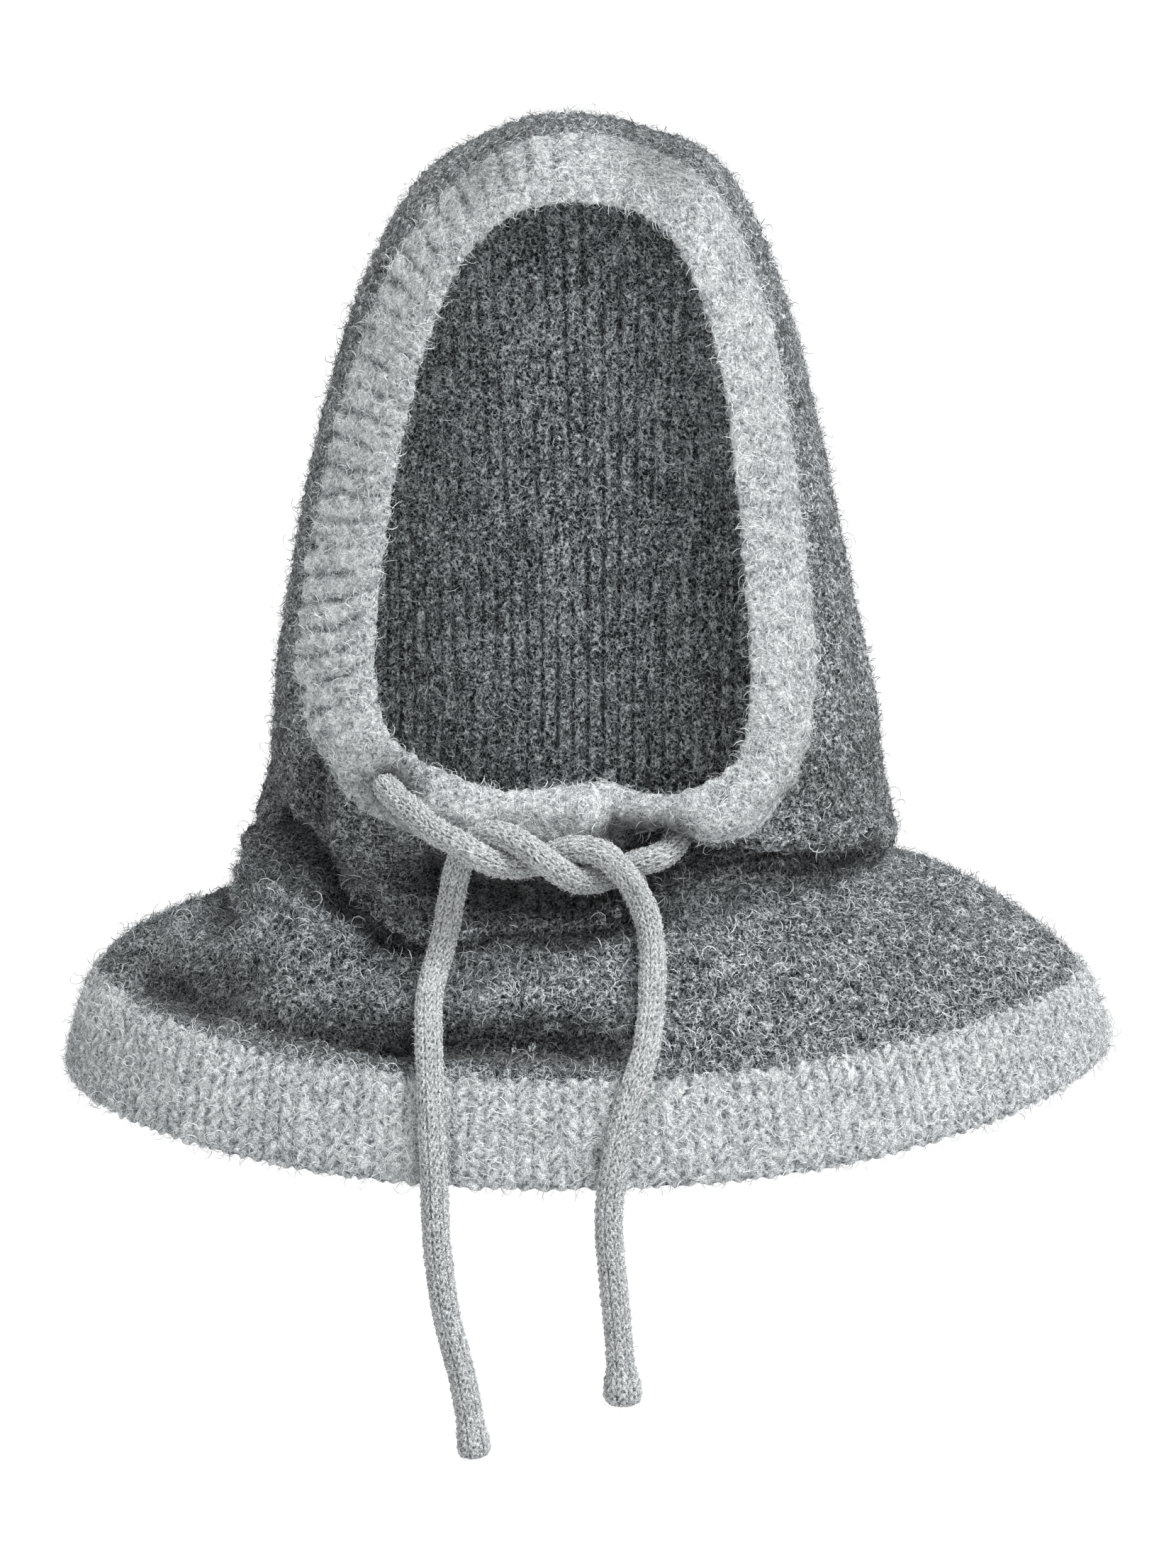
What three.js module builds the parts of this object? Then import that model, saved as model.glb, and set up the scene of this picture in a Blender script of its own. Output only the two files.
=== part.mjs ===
// A knitted hood with a shoulder cape, worn shape, held open as a head holds it.
// Millimetres. +Z is up, the face opening looks along -Y, +X is the wearer's left hand.
// The origin is where the top of the head touches the inside of the crown.
//
// The whole garment is one bent tube of knitting. A row of loops runs from the face
// opening, back over the crown, down the nape, in at the neck and out over the
// shoulders to the hem. Each piece is a stretch of that tube with its own wall.

import * as THREE from 'three';

// Knitting
const WALL = 4.2;              // brushed knit of the hood and the cape
const FACE_BAND_THICK = 8.0;   // the band is knitted double, around the drawstring
const HEM_BAND_THICK = 6.4;
const BAND_PROUD = 1.6;        // how far both bands stand proud of the knit beside them
const FACE_RIBS = 72;
const FACE_RIB_DEPTH = 0.9;
const HEM_RIBS = 72;
const HEM_RIB_DEPTH = 0.6;
const SEAM_GAP = 0.7;          // clearance between neighbouring pieces
const CROWN_LIFT = 2.5;        // lifts the garment until the inside of the crown meets the origin

// Drawstring
const CORD_DIAMETER = 9.6;
const CORD_SIDES = 8;
const CORD_STEPS = 44;

// Mesh fineness
const LOOP_SAMPLES = 480;
const BODY_AROUND = 72;
const FACE_AROUND = 2 * FACE_RIBS;
const HEM_AROUND = 2 * HEM_RIBS;

// One row for each loop of the garment, from the face opening to the hem.
// left, leftZ and right, rightZ: the widest points, which both lie at depth sideY.
// top and bottom: the loop's highest or rearmost point, and its lowest or foremost.
// taper: how far the upper half narrows. squareTop for the upper half, squareLeft and
// squareRight for the lower corners: 2 is an ellipse, more is squarer.
// steps: how many facets run from this loop to the next.
const LOOP_COLUMNS = ['name', 'left', 'leftZ', 'right', 'rightZ', 'sideY', 'topX', 'topY', 'topZ',
  'bottomX', 'bottomY', 'bottomZ', 'taper', 'squareTop', 'squareLeft', 'squareRight', 'steps'];
const LOOP_ROWS = [
  ['face_edge', -76, -186, 59, -186, -88, -4, -86, -29, -8, -92, -240, 0.13, 3.2, 2.1, 2.7, 1],
  ['band_mid', -92, -188, 74, -188, -80, -3, -73, -12, -8, -100, -253, 0.16, 3.15, 2.1, 2.5, 2],
  ['band_seam', -107, -189, 87, -190, -66, -2, -55, -4, -8, -93, -264, 0.185, 3.1, 2.0, 2.25, 1],
  ['brow', -113, -190, 95, -194, -50, -4, -24, 1, -6, -88, -268, 0.20, 3.2, 2.3, 2.5, 2],
  ['crown_fore', -115, -194, 99, -198, -34, -4, 20, 2, -5, -85, -270, 0.205, 3.25, 2.5, 2.7, 2],
  ['crown_back', -117, -202, 104, -204, -20, -3, 64, -17, -4, -83, -271, 0.205, 3.0, 2.6, 2.8, 2],
  ['head_back', -118, -212, 108, -214, -9, -2, 91, -62, -3, -82, -272, 0.19, 2.6, 2.7, 2.8, 2],
  ['nape_top', -119, -222, 110, -224, -2, -1, 97, -116, -2, -82, -273, 0.15, 2.4, 2.6, 2.7, 2],
  ['nape', -120, -234, 111, -238, 1, 0, 91, -172, -2, -82, -274, 0.10, 2.3, 2.5, 2.6, 2],
  ['neck', -122, -249, 114, -253, 2, 0, 82, -226, -2, -82, -275, 0.05, 2.3, 2.4, 2.5, 1],
  ['neck_puff', -127, -262, 118, -268, 2, 0, 82, -262, -2, -83, -277, 0, 2.2, 2.4, 2.5, 1],
  ['neck_crease', -123, -271, 111, -277, 2, 0, 76, -277, -2, -76, -282, 0, 2.2, 2.3, 2.4, 1],
  ['shoulder', -134, -290, 129, -280, 4, 0, 96, -290, -2, -89, -294, 0, 2.2, 2.2, 2.3, 2],
  ['yoke', -173, -304, 171, -303, 4, 0, 126, -324, 0, -110, -318, 0, 2.2, 2.2, 2.2, 2],
  ['hem_seam', -188, -318, 188, -319, 0, 0, 139, -350, -12, -127, -342, 0, 2.2, 2.2, 2.2, 1],
  ['hem_edge', -199, -360, 199, -351, 0, 0, 147, -390, -10, -137, -381, 0, 2.2, 2.2, 2.2, 0],
];

// Where the neck crease drops or lifts: a place around it, the drop, and its reach.
// The drop grows from the face band's seam to the crease and fades towards the hem.
const SAG_COLUMNS = ['name', 'x', 'y', 'drop', 'reach'];
const SAG_ROWS = [
  ['left_pouch', -62, -86, 26, 40],
];

// Soft folds: a ridge (height above 0) or a valley (below 0) along a line of places.
const FOLDS = [
  { name: 'left_roll', height: 9, width: 16,
    along: [[-134, -10, -290], [-108, -56, -300], [-76, -84, -307], [-40, -92, -304], [5, -94, -300]] },
  { name: 'left_crease', height: -5, width: 8,
    along: [[-118, -36, -268], [-104, -58, -278], [-88, -78, -290]] },
  { name: 'front_valley', height: -7, width: 12,
    along: [[-132, -64, -318], [-98, -92, -326], [-55, -108, -330], [-5, -114, -332]] },
  { name: 'band_pinch', height: -9, width: 11,
    along: [[18, -95, -263], [32, -95, -262]] },
  { name: 'left_exit', height: -8, width: 10.5,
    along: [[-74, -92, -241], [-72, -93, -243]] },
];

// The drawstring's two ends, each from where it leaves the face band to its free tip.
// They twist around each other once under the chin and then hang over the cape.
const LEFT_CORD = [
  [-72.6, -90.8, -241.9], [-70.9, -95.0, -243.3], [-67.6, -98.2, -245.6], [-63.2, -100.8, -248.4],
  [-57.6, -104.4, -253.2], [-52.4, -108.8, -255.7], [-47.1, -112.8, -257.9], [-41.5, -114.8, -261.3],
  [-34.3, -112.6, -265.0], [-27.7, -108.0, -266.7], [-22.6, -105.0, -266.9], [-17.4, -103.8, -265.6],
  [-12.3, -104.6, -263.1], [-6.6, -105.8, -261.1], [0.6, -106.4, -261.2], [6.6, -105.4, -263.7],
  [11.2, -103.4, -268.5], [15.9, -101.0, -274.9], [19.5, -99.6, -281.9], [22.1, -101.0, -289.3],
  [23.4, -105.4, -297.7], [23.3, -115.2, -310.7], [22.5, -122.2, -321.4], [20.9, -128.0, -331.3],
  [18.3, -132.6, -339.1], [15.2, -136.6, -347.9], [12.1, -139.8, -358.5], [9.6, -141.6, -369.8],
  [8.0, -142.2, -380.9], [7.5, -142.4, -393.1], [9.3, -142.2, -415.1], [11.4, -141.6, -438.3],
  [12.5, -141.2, -453.6], [12.7, -141.0, -460.0],
];
const RIGHT_CORD = [
  [34.8, -85.2, -266.2], [34.2, -88.4, -266.1], [31.6, -91.4, -266.2], [27.0, -92.8, -266.8],
  [18.8, -92.2, -268.1], [13.1, -91.4, -270.9], [7.4, -93.6, -272.9], [1.7, -98.4, -273.7],
  [-4.5, -106.2, -272.2], [-10.2, -113.0, -268.3], [-15.8, -115.8, -263.7], [-20.9, -115.0, -259.9],
  [-26.6, -112.6, -256.9], [-31.8, -110.0, -255.0], [-36.9, -107.4, -255.4], [-41.4, -104.8, -258.6],
  [-44.8, -102.0, -263.0], [-47.2, -99.4, -268.3], [-48.8, -97.2, -274.7], [-50.1, -96.4, -281.9],
  [-51.4, -97.4, -289.6], [-53.7, -101.2, -299.5], [-56.7, -109.0, -308.9], [-58.0, -118.0, -318.8],
  [-57.6, -125.0, -329.0], [-57.2, -130.8, -338.1], [-56.9, -135.0, -348.2], [-56.4, -138.4, -360.0],
  [-55.6, -140.4, -375.0], [-55.1, -141.0, -389.5], [-54.1, -141.0, -405.1], [-51.1, -141.0, -426.9],
  [-45.3, -140.6, -450.3], [-41.8, -140.4, -472.2], [-40.8, -140.4, -479.6],
];

function named(columns, row) {
  return Object.fromEntries(columns.map((column, k) => [column, row[k]]));
}

const loops = LOOP_ROWS.map((row) => named(LOOP_COLUMNS, row));
const sags = SAG_ROWS.map((row) => named(SAG_COLUMNS, row));
const rowAt = (name) => loops.findIndex((loop) => loop.name === name);

// One loop as points at equal distances, from its top, by +X, the bottom and -X.
function loopPoints(loop) {
  const dense = LOOP_SAMPLES * 4;
  const points = [];
  for (let k = 0; k <= dense; k += 1) {
    const turn = (2 * Math.PI * k) / dense;
    const corner = Math.sin(turn) > 0 ? loop.squareRight : loop.squareLeft;
    const power = Math.cos(turn) > 0 ? loop.squareTop : corner;
    const reach = (Math.abs(Math.cos(turn)) ** power + Math.abs(Math.sin(turn)) ** power) ** (-1 / power);
    const up = Math.cos(turn) * reach;
    const across = Math.sin(turn) * reach;
    const middle = (loop.left + loop.right) / 2;
    const half = (loop.right - loop.left) / 2;
    const endX = up > 0 ? loop.topX : loop.bottomX;
    const sideZ = THREE.MathUtils.lerp(loop.leftZ, loop.rightZ, (across + 1) / 2);
    const bend = (side, top, bottom) => side + ((top - bottom) / 2) * up + ((top + bottom) / 2 - side) * up * up;
    points.push(new THREE.Vector3(
      middle + (endX - middle) * up * up + half * across * (1 - loop.taper * Math.max(up, 0)),
      bend(loop.sideY, loop.topY, loop.bottomY),
      bend(sideZ, loop.topZ, loop.bottomZ),
    ));
  }
  const travelled = [0];
  for (let k = 1; k <= dense; k += 1) {
    travelled.push(travelled[k - 1] + points[k].distanceTo(points[k - 1]));
  }
  const even = [];
  let k = 0;
  for (let i = 0; i < LOOP_SAMPLES; i += 1) {
    const want = (travelled[dense] * i) / LOOP_SAMPLES;
    while (travelled[k + 1] < want) k += 1;
    const share = (want - travelled[k]) / (travelled[k + 1] - travelled[k]);
    even.push(points[k].clone().lerp(points[k + 1], share));
  }
  return even;
}

const grid = loops.map(loopPoints);

// Distance along the garment at each row, averaged around it.
const station = [0];
for (let r = 1; r < grid.length; r += 1) {
  const steps = grid[r].map((point, i) => point.distanceTo(grid[r - 1][i]));
  station.push(station[r - 1] + steps.reduce((sum, step) => sum + step, 0) / steps.length);
}

const bandSeamRow = rowAt('band_seam');
const creaseRow = rowAt('neck_crease');
const hemSeamRow = rowAt('hem_seam');

// Slope of one coordinate at a row, kept monotone so that no fold overshoots.
function slope(value, r) {
  if (r === 0 || r === station.length - 1) {
    const a = r === 0 ? 0 : r - 1;
    return (value(a + 1) - value(a)) / (station[a + 1] - station[a]);
  }
  const before = station[r] - station[r - 1];
  const after = station[r + 1] - station[r];
  const rise = (value(r) - value(r - 1)) / before;
  const next = (value(r + 1) - value(r)) / after;
  if (rise * next <= 0) return 0;
  const w1 = 2 * after + before;
  const w2 = after + 2 * before;
  return (w1 + w2) / (w1 / rise + w2 / next);
}

const slopes = grid.map((row, r) => row.map((point, i) => new THREE.Vector3(
  slope((k) => grid[k][i].x, r), slope((k) => grid[k][i].y, r), slope((k) => grid[k][i].z, r))));

function columnPoint(i, s) {
  let r = 0;
  while (r < station.length - 2 && station[r + 1] < s) r += 1;
  const span = station[r + 1] - station[r];
  const t = (s - station[r]) / span;
  const h00 = (1 + 2 * t) * (1 - t) ** 2;
  const h10 = t * (1 - t) ** 2 * span;
  const h01 = t * t * (3 - 2 * t);
  const h11 = t * t * (t - 1) * span;
  return grid[r][i].clone().multiplyScalar(h00)
    .addScaledVector(slopes[r][i], h10)
    .addScaledVector(grid[r + 1][i], h01)
    .addScaledVector(slopes[r + 1][i], h11);
}

// The garment's outer face before folds: u runs once around, s is distance along it.
function plainPoint(u, s) {
  const place = (((u % 1) + 1) % 1) * LOOP_SAMPLES;
  const i = Math.floor(place) % LOOP_SAMPLES;
  const point = columnPoint(i, s).lerp(columnPoint((i + 1) % LOOP_SAMPLES, s), place - Math.floor(place));
  const share = s < station[creaseRow]
    ? (s - station[bandSeamRow]) / (station[creaseRow] - station[bandSeamRow])
    : (station[hemSeamRow] - s) / (station[hemSeamRow] - station[creaseRow]);
  const weight = THREE.MathUtils.smoothstep(share, 0, 1);
  const drop = sags.reduce((sum, sag) => sum
    + sag.drop * Math.exp(-((point.x - sag.x) ** 2 + (point.y - sag.y) ** 2) / sag.reach ** 2), 0);
  point.z -= drop * weight;
  return point;
}

function normalOf(pointAt, u, s) {
  const du = 0.004;
  const ds = 2.0;
  const low = Math.max(s - ds, 0);
  const high = Math.min(s + ds, station[station.length - 1]);
  const around = pointAt(u + du, s).sub(pointAt(u - du, s));
  const along = pointAt(u, high).sub(pointAt(u, low));
  return around.cross(along).normalize();
}

function foldHeight(point) {
  let height = 0;
  for (const fold of FOLDS) {
    let near = Infinity;
    for (let k = 1; k < fold.along.length; k += 1) {
      const line = new THREE.Line3(new THREE.Vector3(...fold.along[k - 1]), new THREE.Vector3(...fold.along[k]));
      near = Math.min(near, line.closestPointToPoint(point, true, new THREE.Vector3()).distanceTo(point));
    }
    height += fold.height * Math.exp(-((near / fold.width) ** 2));
  }
  return height;
}

function facePoint(u, s) {
  const point = plainPoint(u, s);
  return point.addScaledVector(normalOf(plainPoint, u, s), foldHeight(point));
}

// A piece is a closed section carried around the garment. Each station of the section
// has its distance s along the garment and its height off the outer face. The ends of
// the piece step back by half the seam gap, along the knit.
function carrySection(section, around, relief) {
  const positions = [];
  for (const { s, off, step = 0 } of section) {
    for (let i = 0; i < around; i += 1) {
      const u = i / around;
      const point = facePoint(u, s);
      const normal = normalOf(facePoint, u, s);
      if (step !== 0) {
        const along = facePoint(u, s + Math.sign(step)).sub(point).normalize();
        point.addScaledVector(along, Math.abs(step));
      }
      point.addScaledVector(normal, off + relief(u, off));
      positions.push(point.x, point.y, point.z);
    }
  }
  const index = [];
  for (let j = 0; j < section.length; j += 1) {
    const next = (j + 1) % section.length;
    for (let i = 0; i < around; i += 1) {
      const right = (i + 1) % around;
      const a = j * around + i;
      const b = j * around + right;
      const c = next * around + right;
      const d = next * around + i;
      index.push(a, b, c, a, c, d);
    }
  }
  const geometry = new THREE.BufferGeometry();
  geometry.setAttribute('position', new THREE.Float32BufferAttribute(positions, 3));
  geometry.setIndex(index);
  geometry.computeVertexNormals();
  return geometry;
}

// Distances along the garment from one row to another, with each row's own steps.
function stationsBetween(from, to) {
  const places = [];
  for (let r = rowAt(from); r < rowAt(to); r += 1) {
    for (let k = 0; k < loops[r].steps; k += 1) {
      places.push(THREE.MathUtils.lerp(station[r], station[r + 1], k / loops[r].steps));
    }
  }
  return [...places, station[rowAt(to)]];
}

// A plain wall between two rows of the garment, with square edges.
function wallSection(from, to, thick) {
  const places = stationsBetween(from, to);
  const outer = places.map((s, k) => {
    const inward = k === 0 ? 1 : -1;
    const atEnd = k === 0 || k === places.length - 1;
    return { s, off: 0, step: atEnd ? (inward * SEAM_GAP) / 2 : 0 };
  });
  const inner = outer.map((place) => ({ ...place, off: -thick })).reverse();
  return [...outer, ...inner];
}

// A thick band between two rows: a flat oval section, round at the free edge.
function bandSection(from, to, steps, thick, freeFirst) {
  const start = station[rowAt(from)];
  const length = station[rowAt(to)] - start;
  const middle = BAND_PROUD - thick / 2;
  const outer = [];
  for (let k = 0; k <= steps; k += 1) {
    const share = k / steps;
    const fromFree = freeFirst ? share : 1 - share;
    const swell = Math.sqrt(1 - (1 - Math.min(1, fromFree * 2.2 + 0.06)) ** 2);
    const atSeam = fromFree > 0.9 ? 0.8 : 1;
    const seamStep = freeFirst ? -SEAM_GAP / 2 : SEAM_GAP / 2;
    outer.push({ s: start + length * share, half: (thick / 2) * swell * atSeam, step: fromFree > 0.999 ? seamStep : 0 });
  }
  const top = outer.map(({ s, half, step }) => ({ s, step, off: middle + half }));
  const under = outer.map(({ s, half, step }) => ({ s, step, off: middle - half })).reverse();
  return [...top, ...under];
}

function ribs(count, depth) {
  return (u, off) => (off > -1 ? depth : -depth) * Math.cos(2 * Math.PI * count * u);
}

const smooth = () => 0;

// A round cord along a route of places.
function cordAlong(route) {
  const section = new THREE.Shape();
  for (let k = 0; k < CORD_SIDES; k += 1) {
    const turn = (2 * Math.PI * k) / CORD_SIDES;
    const x = (CORD_DIAMETER / 2) * Math.cos(turn);
    const y = (CORD_DIAMETER / 2) * Math.sin(turn);
    if (k === 0) section.moveTo(x, y);
    else section.lineTo(x, y);
  }
  section.closePath();
  const places = route.map((place) => new THREE.Vector3(...place));
  return new THREE.ExtrudeGeometry(section, {
    steps: CORD_STEPS, bevelEnabled: false, extrudePath: new THREE.CatmullRomCurve3(places, false, 'centripetal'),
  });
}

const lightWool = new THREE.MeshStandardMaterial({ color: 0xb9bcbd, roughness: 0.95, metalness: 0 });
const darkWool = new THREE.MeshStandardMaterial({ color: 0x5b6063, roughness: 0.95, metalness: 0 });
const cordWool = new THREE.MeshStandardMaterial({ color: 0xb4b8ba, roughness: 0.9, metalness: 0 });

function piece(name, geometry, material) {
  const mesh = new THREE.Mesh(geometry, material);
  mesh.name = name;
  return mesh;
}

const garment = new THREE.Group();
garment.position.z = CROWN_LIFT;
garment.add(
  piece('face_band', carrySection(bandSection('face_edge', 'band_seam', 3, FACE_BAND_THICK, true),
    FACE_AROUND, ribs(FACE_RIBS, FACE_RIB_DEPTH)), lightWool),
  piece('hood', carrySection(wallSection('band_seam', 'neck_crease', WALL), BODY_AROUND, smooth), darkWool),
  piece('cape', carrySection(wallSection('neck_crease', 'hem_seam', WALL), BODY_AROUND, smooth), darkWool),
  piece('hem_band', carrySection(bandSection('hem_seam', 'hem_edge', 2, HEM_BAND_THICK, false),
    HEM_AROUND, ribs(HEM_RIBS, HEM_RIB_DEPTH)), lightWool),
  piece('drawstring_left', cordAlong(LEFT_CORD), cordWool),
  piece('drawstring_right', cordAlong(RIGHT_CORD), cordWool),
);

export default garment;
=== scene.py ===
"""A knitted hood with a shoulder cape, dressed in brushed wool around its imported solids.

Metres. +Z is up, the face opening looks along -Y, +X is the wearer's left hand. The garment is
one bent tube of knitting: rows of loops run from the face opening over the crown, down the
nape, in at the neck and out over the shoulders to the hem.
"""

from __future__ import annotations

import logging
import math
from dataclasses import dataclass, field, replace
from enum import Enum
from functools import cache
from typing import Callable, Mapping, Sequence

import bpy
import numpy as np
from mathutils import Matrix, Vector

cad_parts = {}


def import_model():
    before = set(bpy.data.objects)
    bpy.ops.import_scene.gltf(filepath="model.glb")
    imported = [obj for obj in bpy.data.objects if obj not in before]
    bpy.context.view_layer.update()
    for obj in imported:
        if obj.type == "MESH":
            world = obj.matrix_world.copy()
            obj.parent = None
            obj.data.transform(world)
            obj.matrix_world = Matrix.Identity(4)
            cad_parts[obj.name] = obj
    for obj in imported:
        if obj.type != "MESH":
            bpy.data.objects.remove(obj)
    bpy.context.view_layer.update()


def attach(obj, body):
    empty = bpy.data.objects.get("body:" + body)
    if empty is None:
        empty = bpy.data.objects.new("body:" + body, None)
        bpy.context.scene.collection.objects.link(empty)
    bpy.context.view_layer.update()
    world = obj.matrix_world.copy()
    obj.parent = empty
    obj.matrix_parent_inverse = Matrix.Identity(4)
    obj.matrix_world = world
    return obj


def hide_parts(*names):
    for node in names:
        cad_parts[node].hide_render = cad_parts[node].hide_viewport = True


LOG = logging.getLogger("knitted_hood")
MM = 0.001
CROWN_LIFT = 2.5  # lifts the garment until the inside of the crown meets the origin
LEG_CLIMB = 1.3  # how many courses a leg of a stitch's V climbs in a whole wale
LEG_FULLNESS, WALE_FULLNESS = 0.75, 0.55  # how round the yarn is along and across
# Three tangles of pale threads and one of dark: their curls' size, their width and their turn.
TANGLES = ((1.0, 0.055, 1.0), (0.8, 0.06, 5.0), (1.4, 0.04, 9.0), (1.2, 0.07, 13.0))


# Meshes and lines


def put(name: str, data: bpy.types.ID) -> bpy.types.Object:
    """Makes an object of its data, at the origin, and shows it.

    Args:
        name: the object's name.
        data: its mesh, camera or light.

    Returns:
        The object.
    """
    made = bpy.data.objects.new(name, data)
    bpy.context.scene.collection.objects.link(made)
    return made


def read(items: Sequence[object], key: str, kind: type = np.float32,
         width: int = 1) -> np.ndarray:
    """Reads one property of every item of a mesh.

    Args:
        items: the vertices, corners or faces, or an attribute's data.
        key: the property.
        kind: the kind of number.
        width: how many numbers each item has.

    Returns:
        The numbers in a row.
    """
    flat = np.zeros(len(items) * width, kind)
    items.foreach_get(key, flat)
    return flat


def write(items: Sequence[object], key: str, values: np.ndarray) -> None:
    """Writes one property of every item of a mesh."""
    items.foreach_set(key, values.astype(np.float32).ravel())


def smoothstep(low: float, high: float, values: np.ndarray) -> np.ndarray:
    """Runs smoothly from 0 at low to 1 at high."""
    share = np.clip((values - low) / (high - low), 0, 1)
    return share * share * (3 - 2 * share)


def unit(vectors: np.ndarray) -> np.ndarray:
    """Makes vectors one long."""
    return vectors / np.linalg.norm(vectors, axis=-1, keepdims=True)


def distances(points: np.ndarray) -> np.ndarray:
    """Measures along a line of points, or along the mean of a grid's columns.

    Args:
        points: the line's points, or the grid's rows of points.

    Returns:
        The distance from the first to each of them.
    """
    steps = np.linalg.norm(np.diff(points, axis=0), axis=-1)
    steps = steps.reshape(len(steps), -1).mean(axis=1)
    return np.concatenate([[0.0], np.cumsum(steps)])


def spaced(points: np.ndarray, along: np.ndarray, wanted: np.ndarray) -> np.ndarray:
    """Finds the points of a line at the distances wanted, from those of its own points."""
    return np.stack([np.interp(wanted, along, points[:, k]) for k in range(3)], axis=1)


# Nodes


def pick(sockets: Sequence[bpy.types.NodeSocket], name: str | int) -> bpy.types.NodeSocket:
    """Finds a socket of a node.

    Args:
        sockets: the node's inputs or outputs.
        name: the socket's place, or its name among the sockets in use.

    Returns:
        The socket.
    """
    if isinstance(name, int):
        return sockets[name]
    return next(s for s in sockets if s.enabled and s.name == name)


def maths(operation: str, first: bool = True) -> Callable[..., Value]:
    """Makes an operator that adds one Math node.

    Args:
        operation: the node's operation.
        first: whether the value that the operator is used on is the first operand.

    Returns:
        A method that takes the other operands and gives the node's output.
    """
    def operate(self: Value, *others: Value | float) -> Value:
        """Adds the node."""
        operands = [self, *others] if first else [*others, self]
        inputs = dict(enumerate(operands))
        return self.bench.out("ShaderNodeMath", {"operation": operation}, inputs)
    return operate


class Value:
    """A node's output that adds Math nodes to its tree when it is calculated with."""

    def __init__(self, bench: Bench, socket: bpy.types.NodeSocket) -> None:
        """Keeps the tree and the socket."""
        self.bench = bench
        self.socket = socket

    __add__ = __radd__ = maths("ADD")
    __sub__, __rsub__ = maths("SUBTRACT"), maths("SUBTRACT", first=False)
    __mul__ = __rmul__ = maths("MULTIPLY")
    __truediv__, __rtruediv__ = maths("DIVIDE"), maths("DIVIDE", first=False)
    __pow__ = maths("POWER")
    __abs__ = maths("ABSOLUTE")
    sine = maths("SINE")
    part = maths("FRACT")  # what is left after the whole number
    least = maths("MINIMUM")
    most = maths("MAXIMUM")

    def between(self, low: float, high: float) -> Value:
        """Runs smoothly from 0 at low to 1 at high."""
        settings = {"interpolation_type": "SMOOTHSTEP"}
        inputs = {"Value": self, "From Min": low, "From Max": high}
        return self.bench.out("ShaderNodeMapRange", settings, inputs, "Result")


class Bench:
    """Adds nodes to one tree, of a material or of geometry."""

    def __init__(self, tree: bpy.types.NodeTree) -> None:
        """Keeps the tree."""
        self.tree = tree

    def add(self, kind: str, settings: Mapping[str, object] | None = None,
            inputs: Mapping[str | int, object] | None = None) -> bpy.types.Node:
        """Adds a node, sets it, then feeds its sockets.

        Args:
            kind: the node's type.
            settings: its own settings; stops holds a colour ramp's places and colours.
            inputs: a value, a Value or a socket for each input that isn't left alone.

        Returns:
            The node.
        """
        node = self.tree.nodes.new(kind)
        for name, setting in (settings or {}).items():
            if name == "stops":
                self._stops(node, setting)
            else:
                setattr(node, name, setting)
        for name, value in (inputs or {}).items():
            socket = pick(node.inputs, name)
            value = value.socket if isinstance(value, Value) else value
            if isinstance(value, bpy.types.NodeSocket):
                self.tree.links.new(value, socket)
            else:
                socket.default_value = value
        return node

    @staticmethod
    def _stops(node: bpy.types.Node, stops: Sequence[tuple[float, Sequence[float]]]) -> None:
        """Sets a colour ramp's places and colours.

        Args:
            node: the ramp.
            stops: each place with its colour.
        """
        ramp = node.color_ramp
        while len(ramp.elements) < len(stops):
            ramp.elements.new(1.0)
        for element, (place, colour) in zip(ramp.elements, stops):
            element.position = place
            element.color = (*colour, 1.0)

    def out(self, kind: str, settings: Mapping[str, object] | None = None,
            inputs: Mapping[str | int, object] | None = None, name: str | int = 0) -> Value:
        """Adds a node and picks one of its outputs.

        Args:
            kind: the node's type.
            settings: its settings, as for add.
            inputs: what feeds it, as for add.
            name: the output's place or name among those in use.

        Returns:
            The output.
        """
        node = self.add(kind, settings, inputs)
        return Value(self, pick([s for s in node.outputs if s.enabled], name))

    def noise(self, place: Value, size: float, turn: Value | float, **inputs: float) -> Value:
        """Adds a Noise Texture.

        Args:
            place: the coordinates.
            size: the size of its lumps, in metres.
            turn: picks one noise out of many.
            inputs: its other sockets, with their names in small letters.

        Returns:
            Its factor, about 0.5 on average.
        """
        fed = {name.capitalize(): value for name, value in inputs.items()}
        fed.update(Vector=place, Scale=1 / size, W=turn)
        return self.out("ShaderNodeTexNoise", {"noise_dimensions": "4D"}, fed)


def stitch_height(wale: Value, course: Value) -> Value:
    """Works out how high plain knitting stands: a V in each wale, stacked in courses.

    Args:
        wale: the place around, one for each column of stitches.
        course: the place along, one for each row of stitches.

    Returns:
        The height, from 0 in the gaps to 1 on the yarn.
    """
    from_middle = abs(wale.part() - 0.5)
    leg = ((course - from_middle * (2 * LEG_CLIMB)).part() * math.pi).sine()
    across = (from_middle * (2 * math.pi)).sine()
    return (leg.most(0.0) ** LEG_FULLNESS) * (across.most(0.0) ** WALE_FULLNESS)


def threads(bench: Bench, place: Value, size: float, width: float, turn: float) -> Value:
    """Draws thin curling threads, where a soft noise passes through its middle.

    Args:
        bench: the tree.
        place: the coordinates.
        size: how wide the threads curl, in metres.
        width: the threads' width, as a share of the noise.
        turn: picks one tangle of threads out of many.

    Returns:
        1 along the middle of a thread, and 0 between threads.
    """
    soft = bench.noise(place, size, turn, detail=1.0, roughness=0.4, distortion=0.4)
    return (1 - abs(soft - 0.5) / width).most(0.0)


# Finishes


def linear(red: int, green: int, blue: int) -> tuple[float, float, float]:
    """Turns a colour of 0 to 255 into the light that it gives back."""
    shares = (red / 255, green / 255, blue / 255)
    return tuple(s / 12.92 if s <= 0.04045 else ((s + 0.055) / 1.055) ** 2.4 for s in shares)


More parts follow.
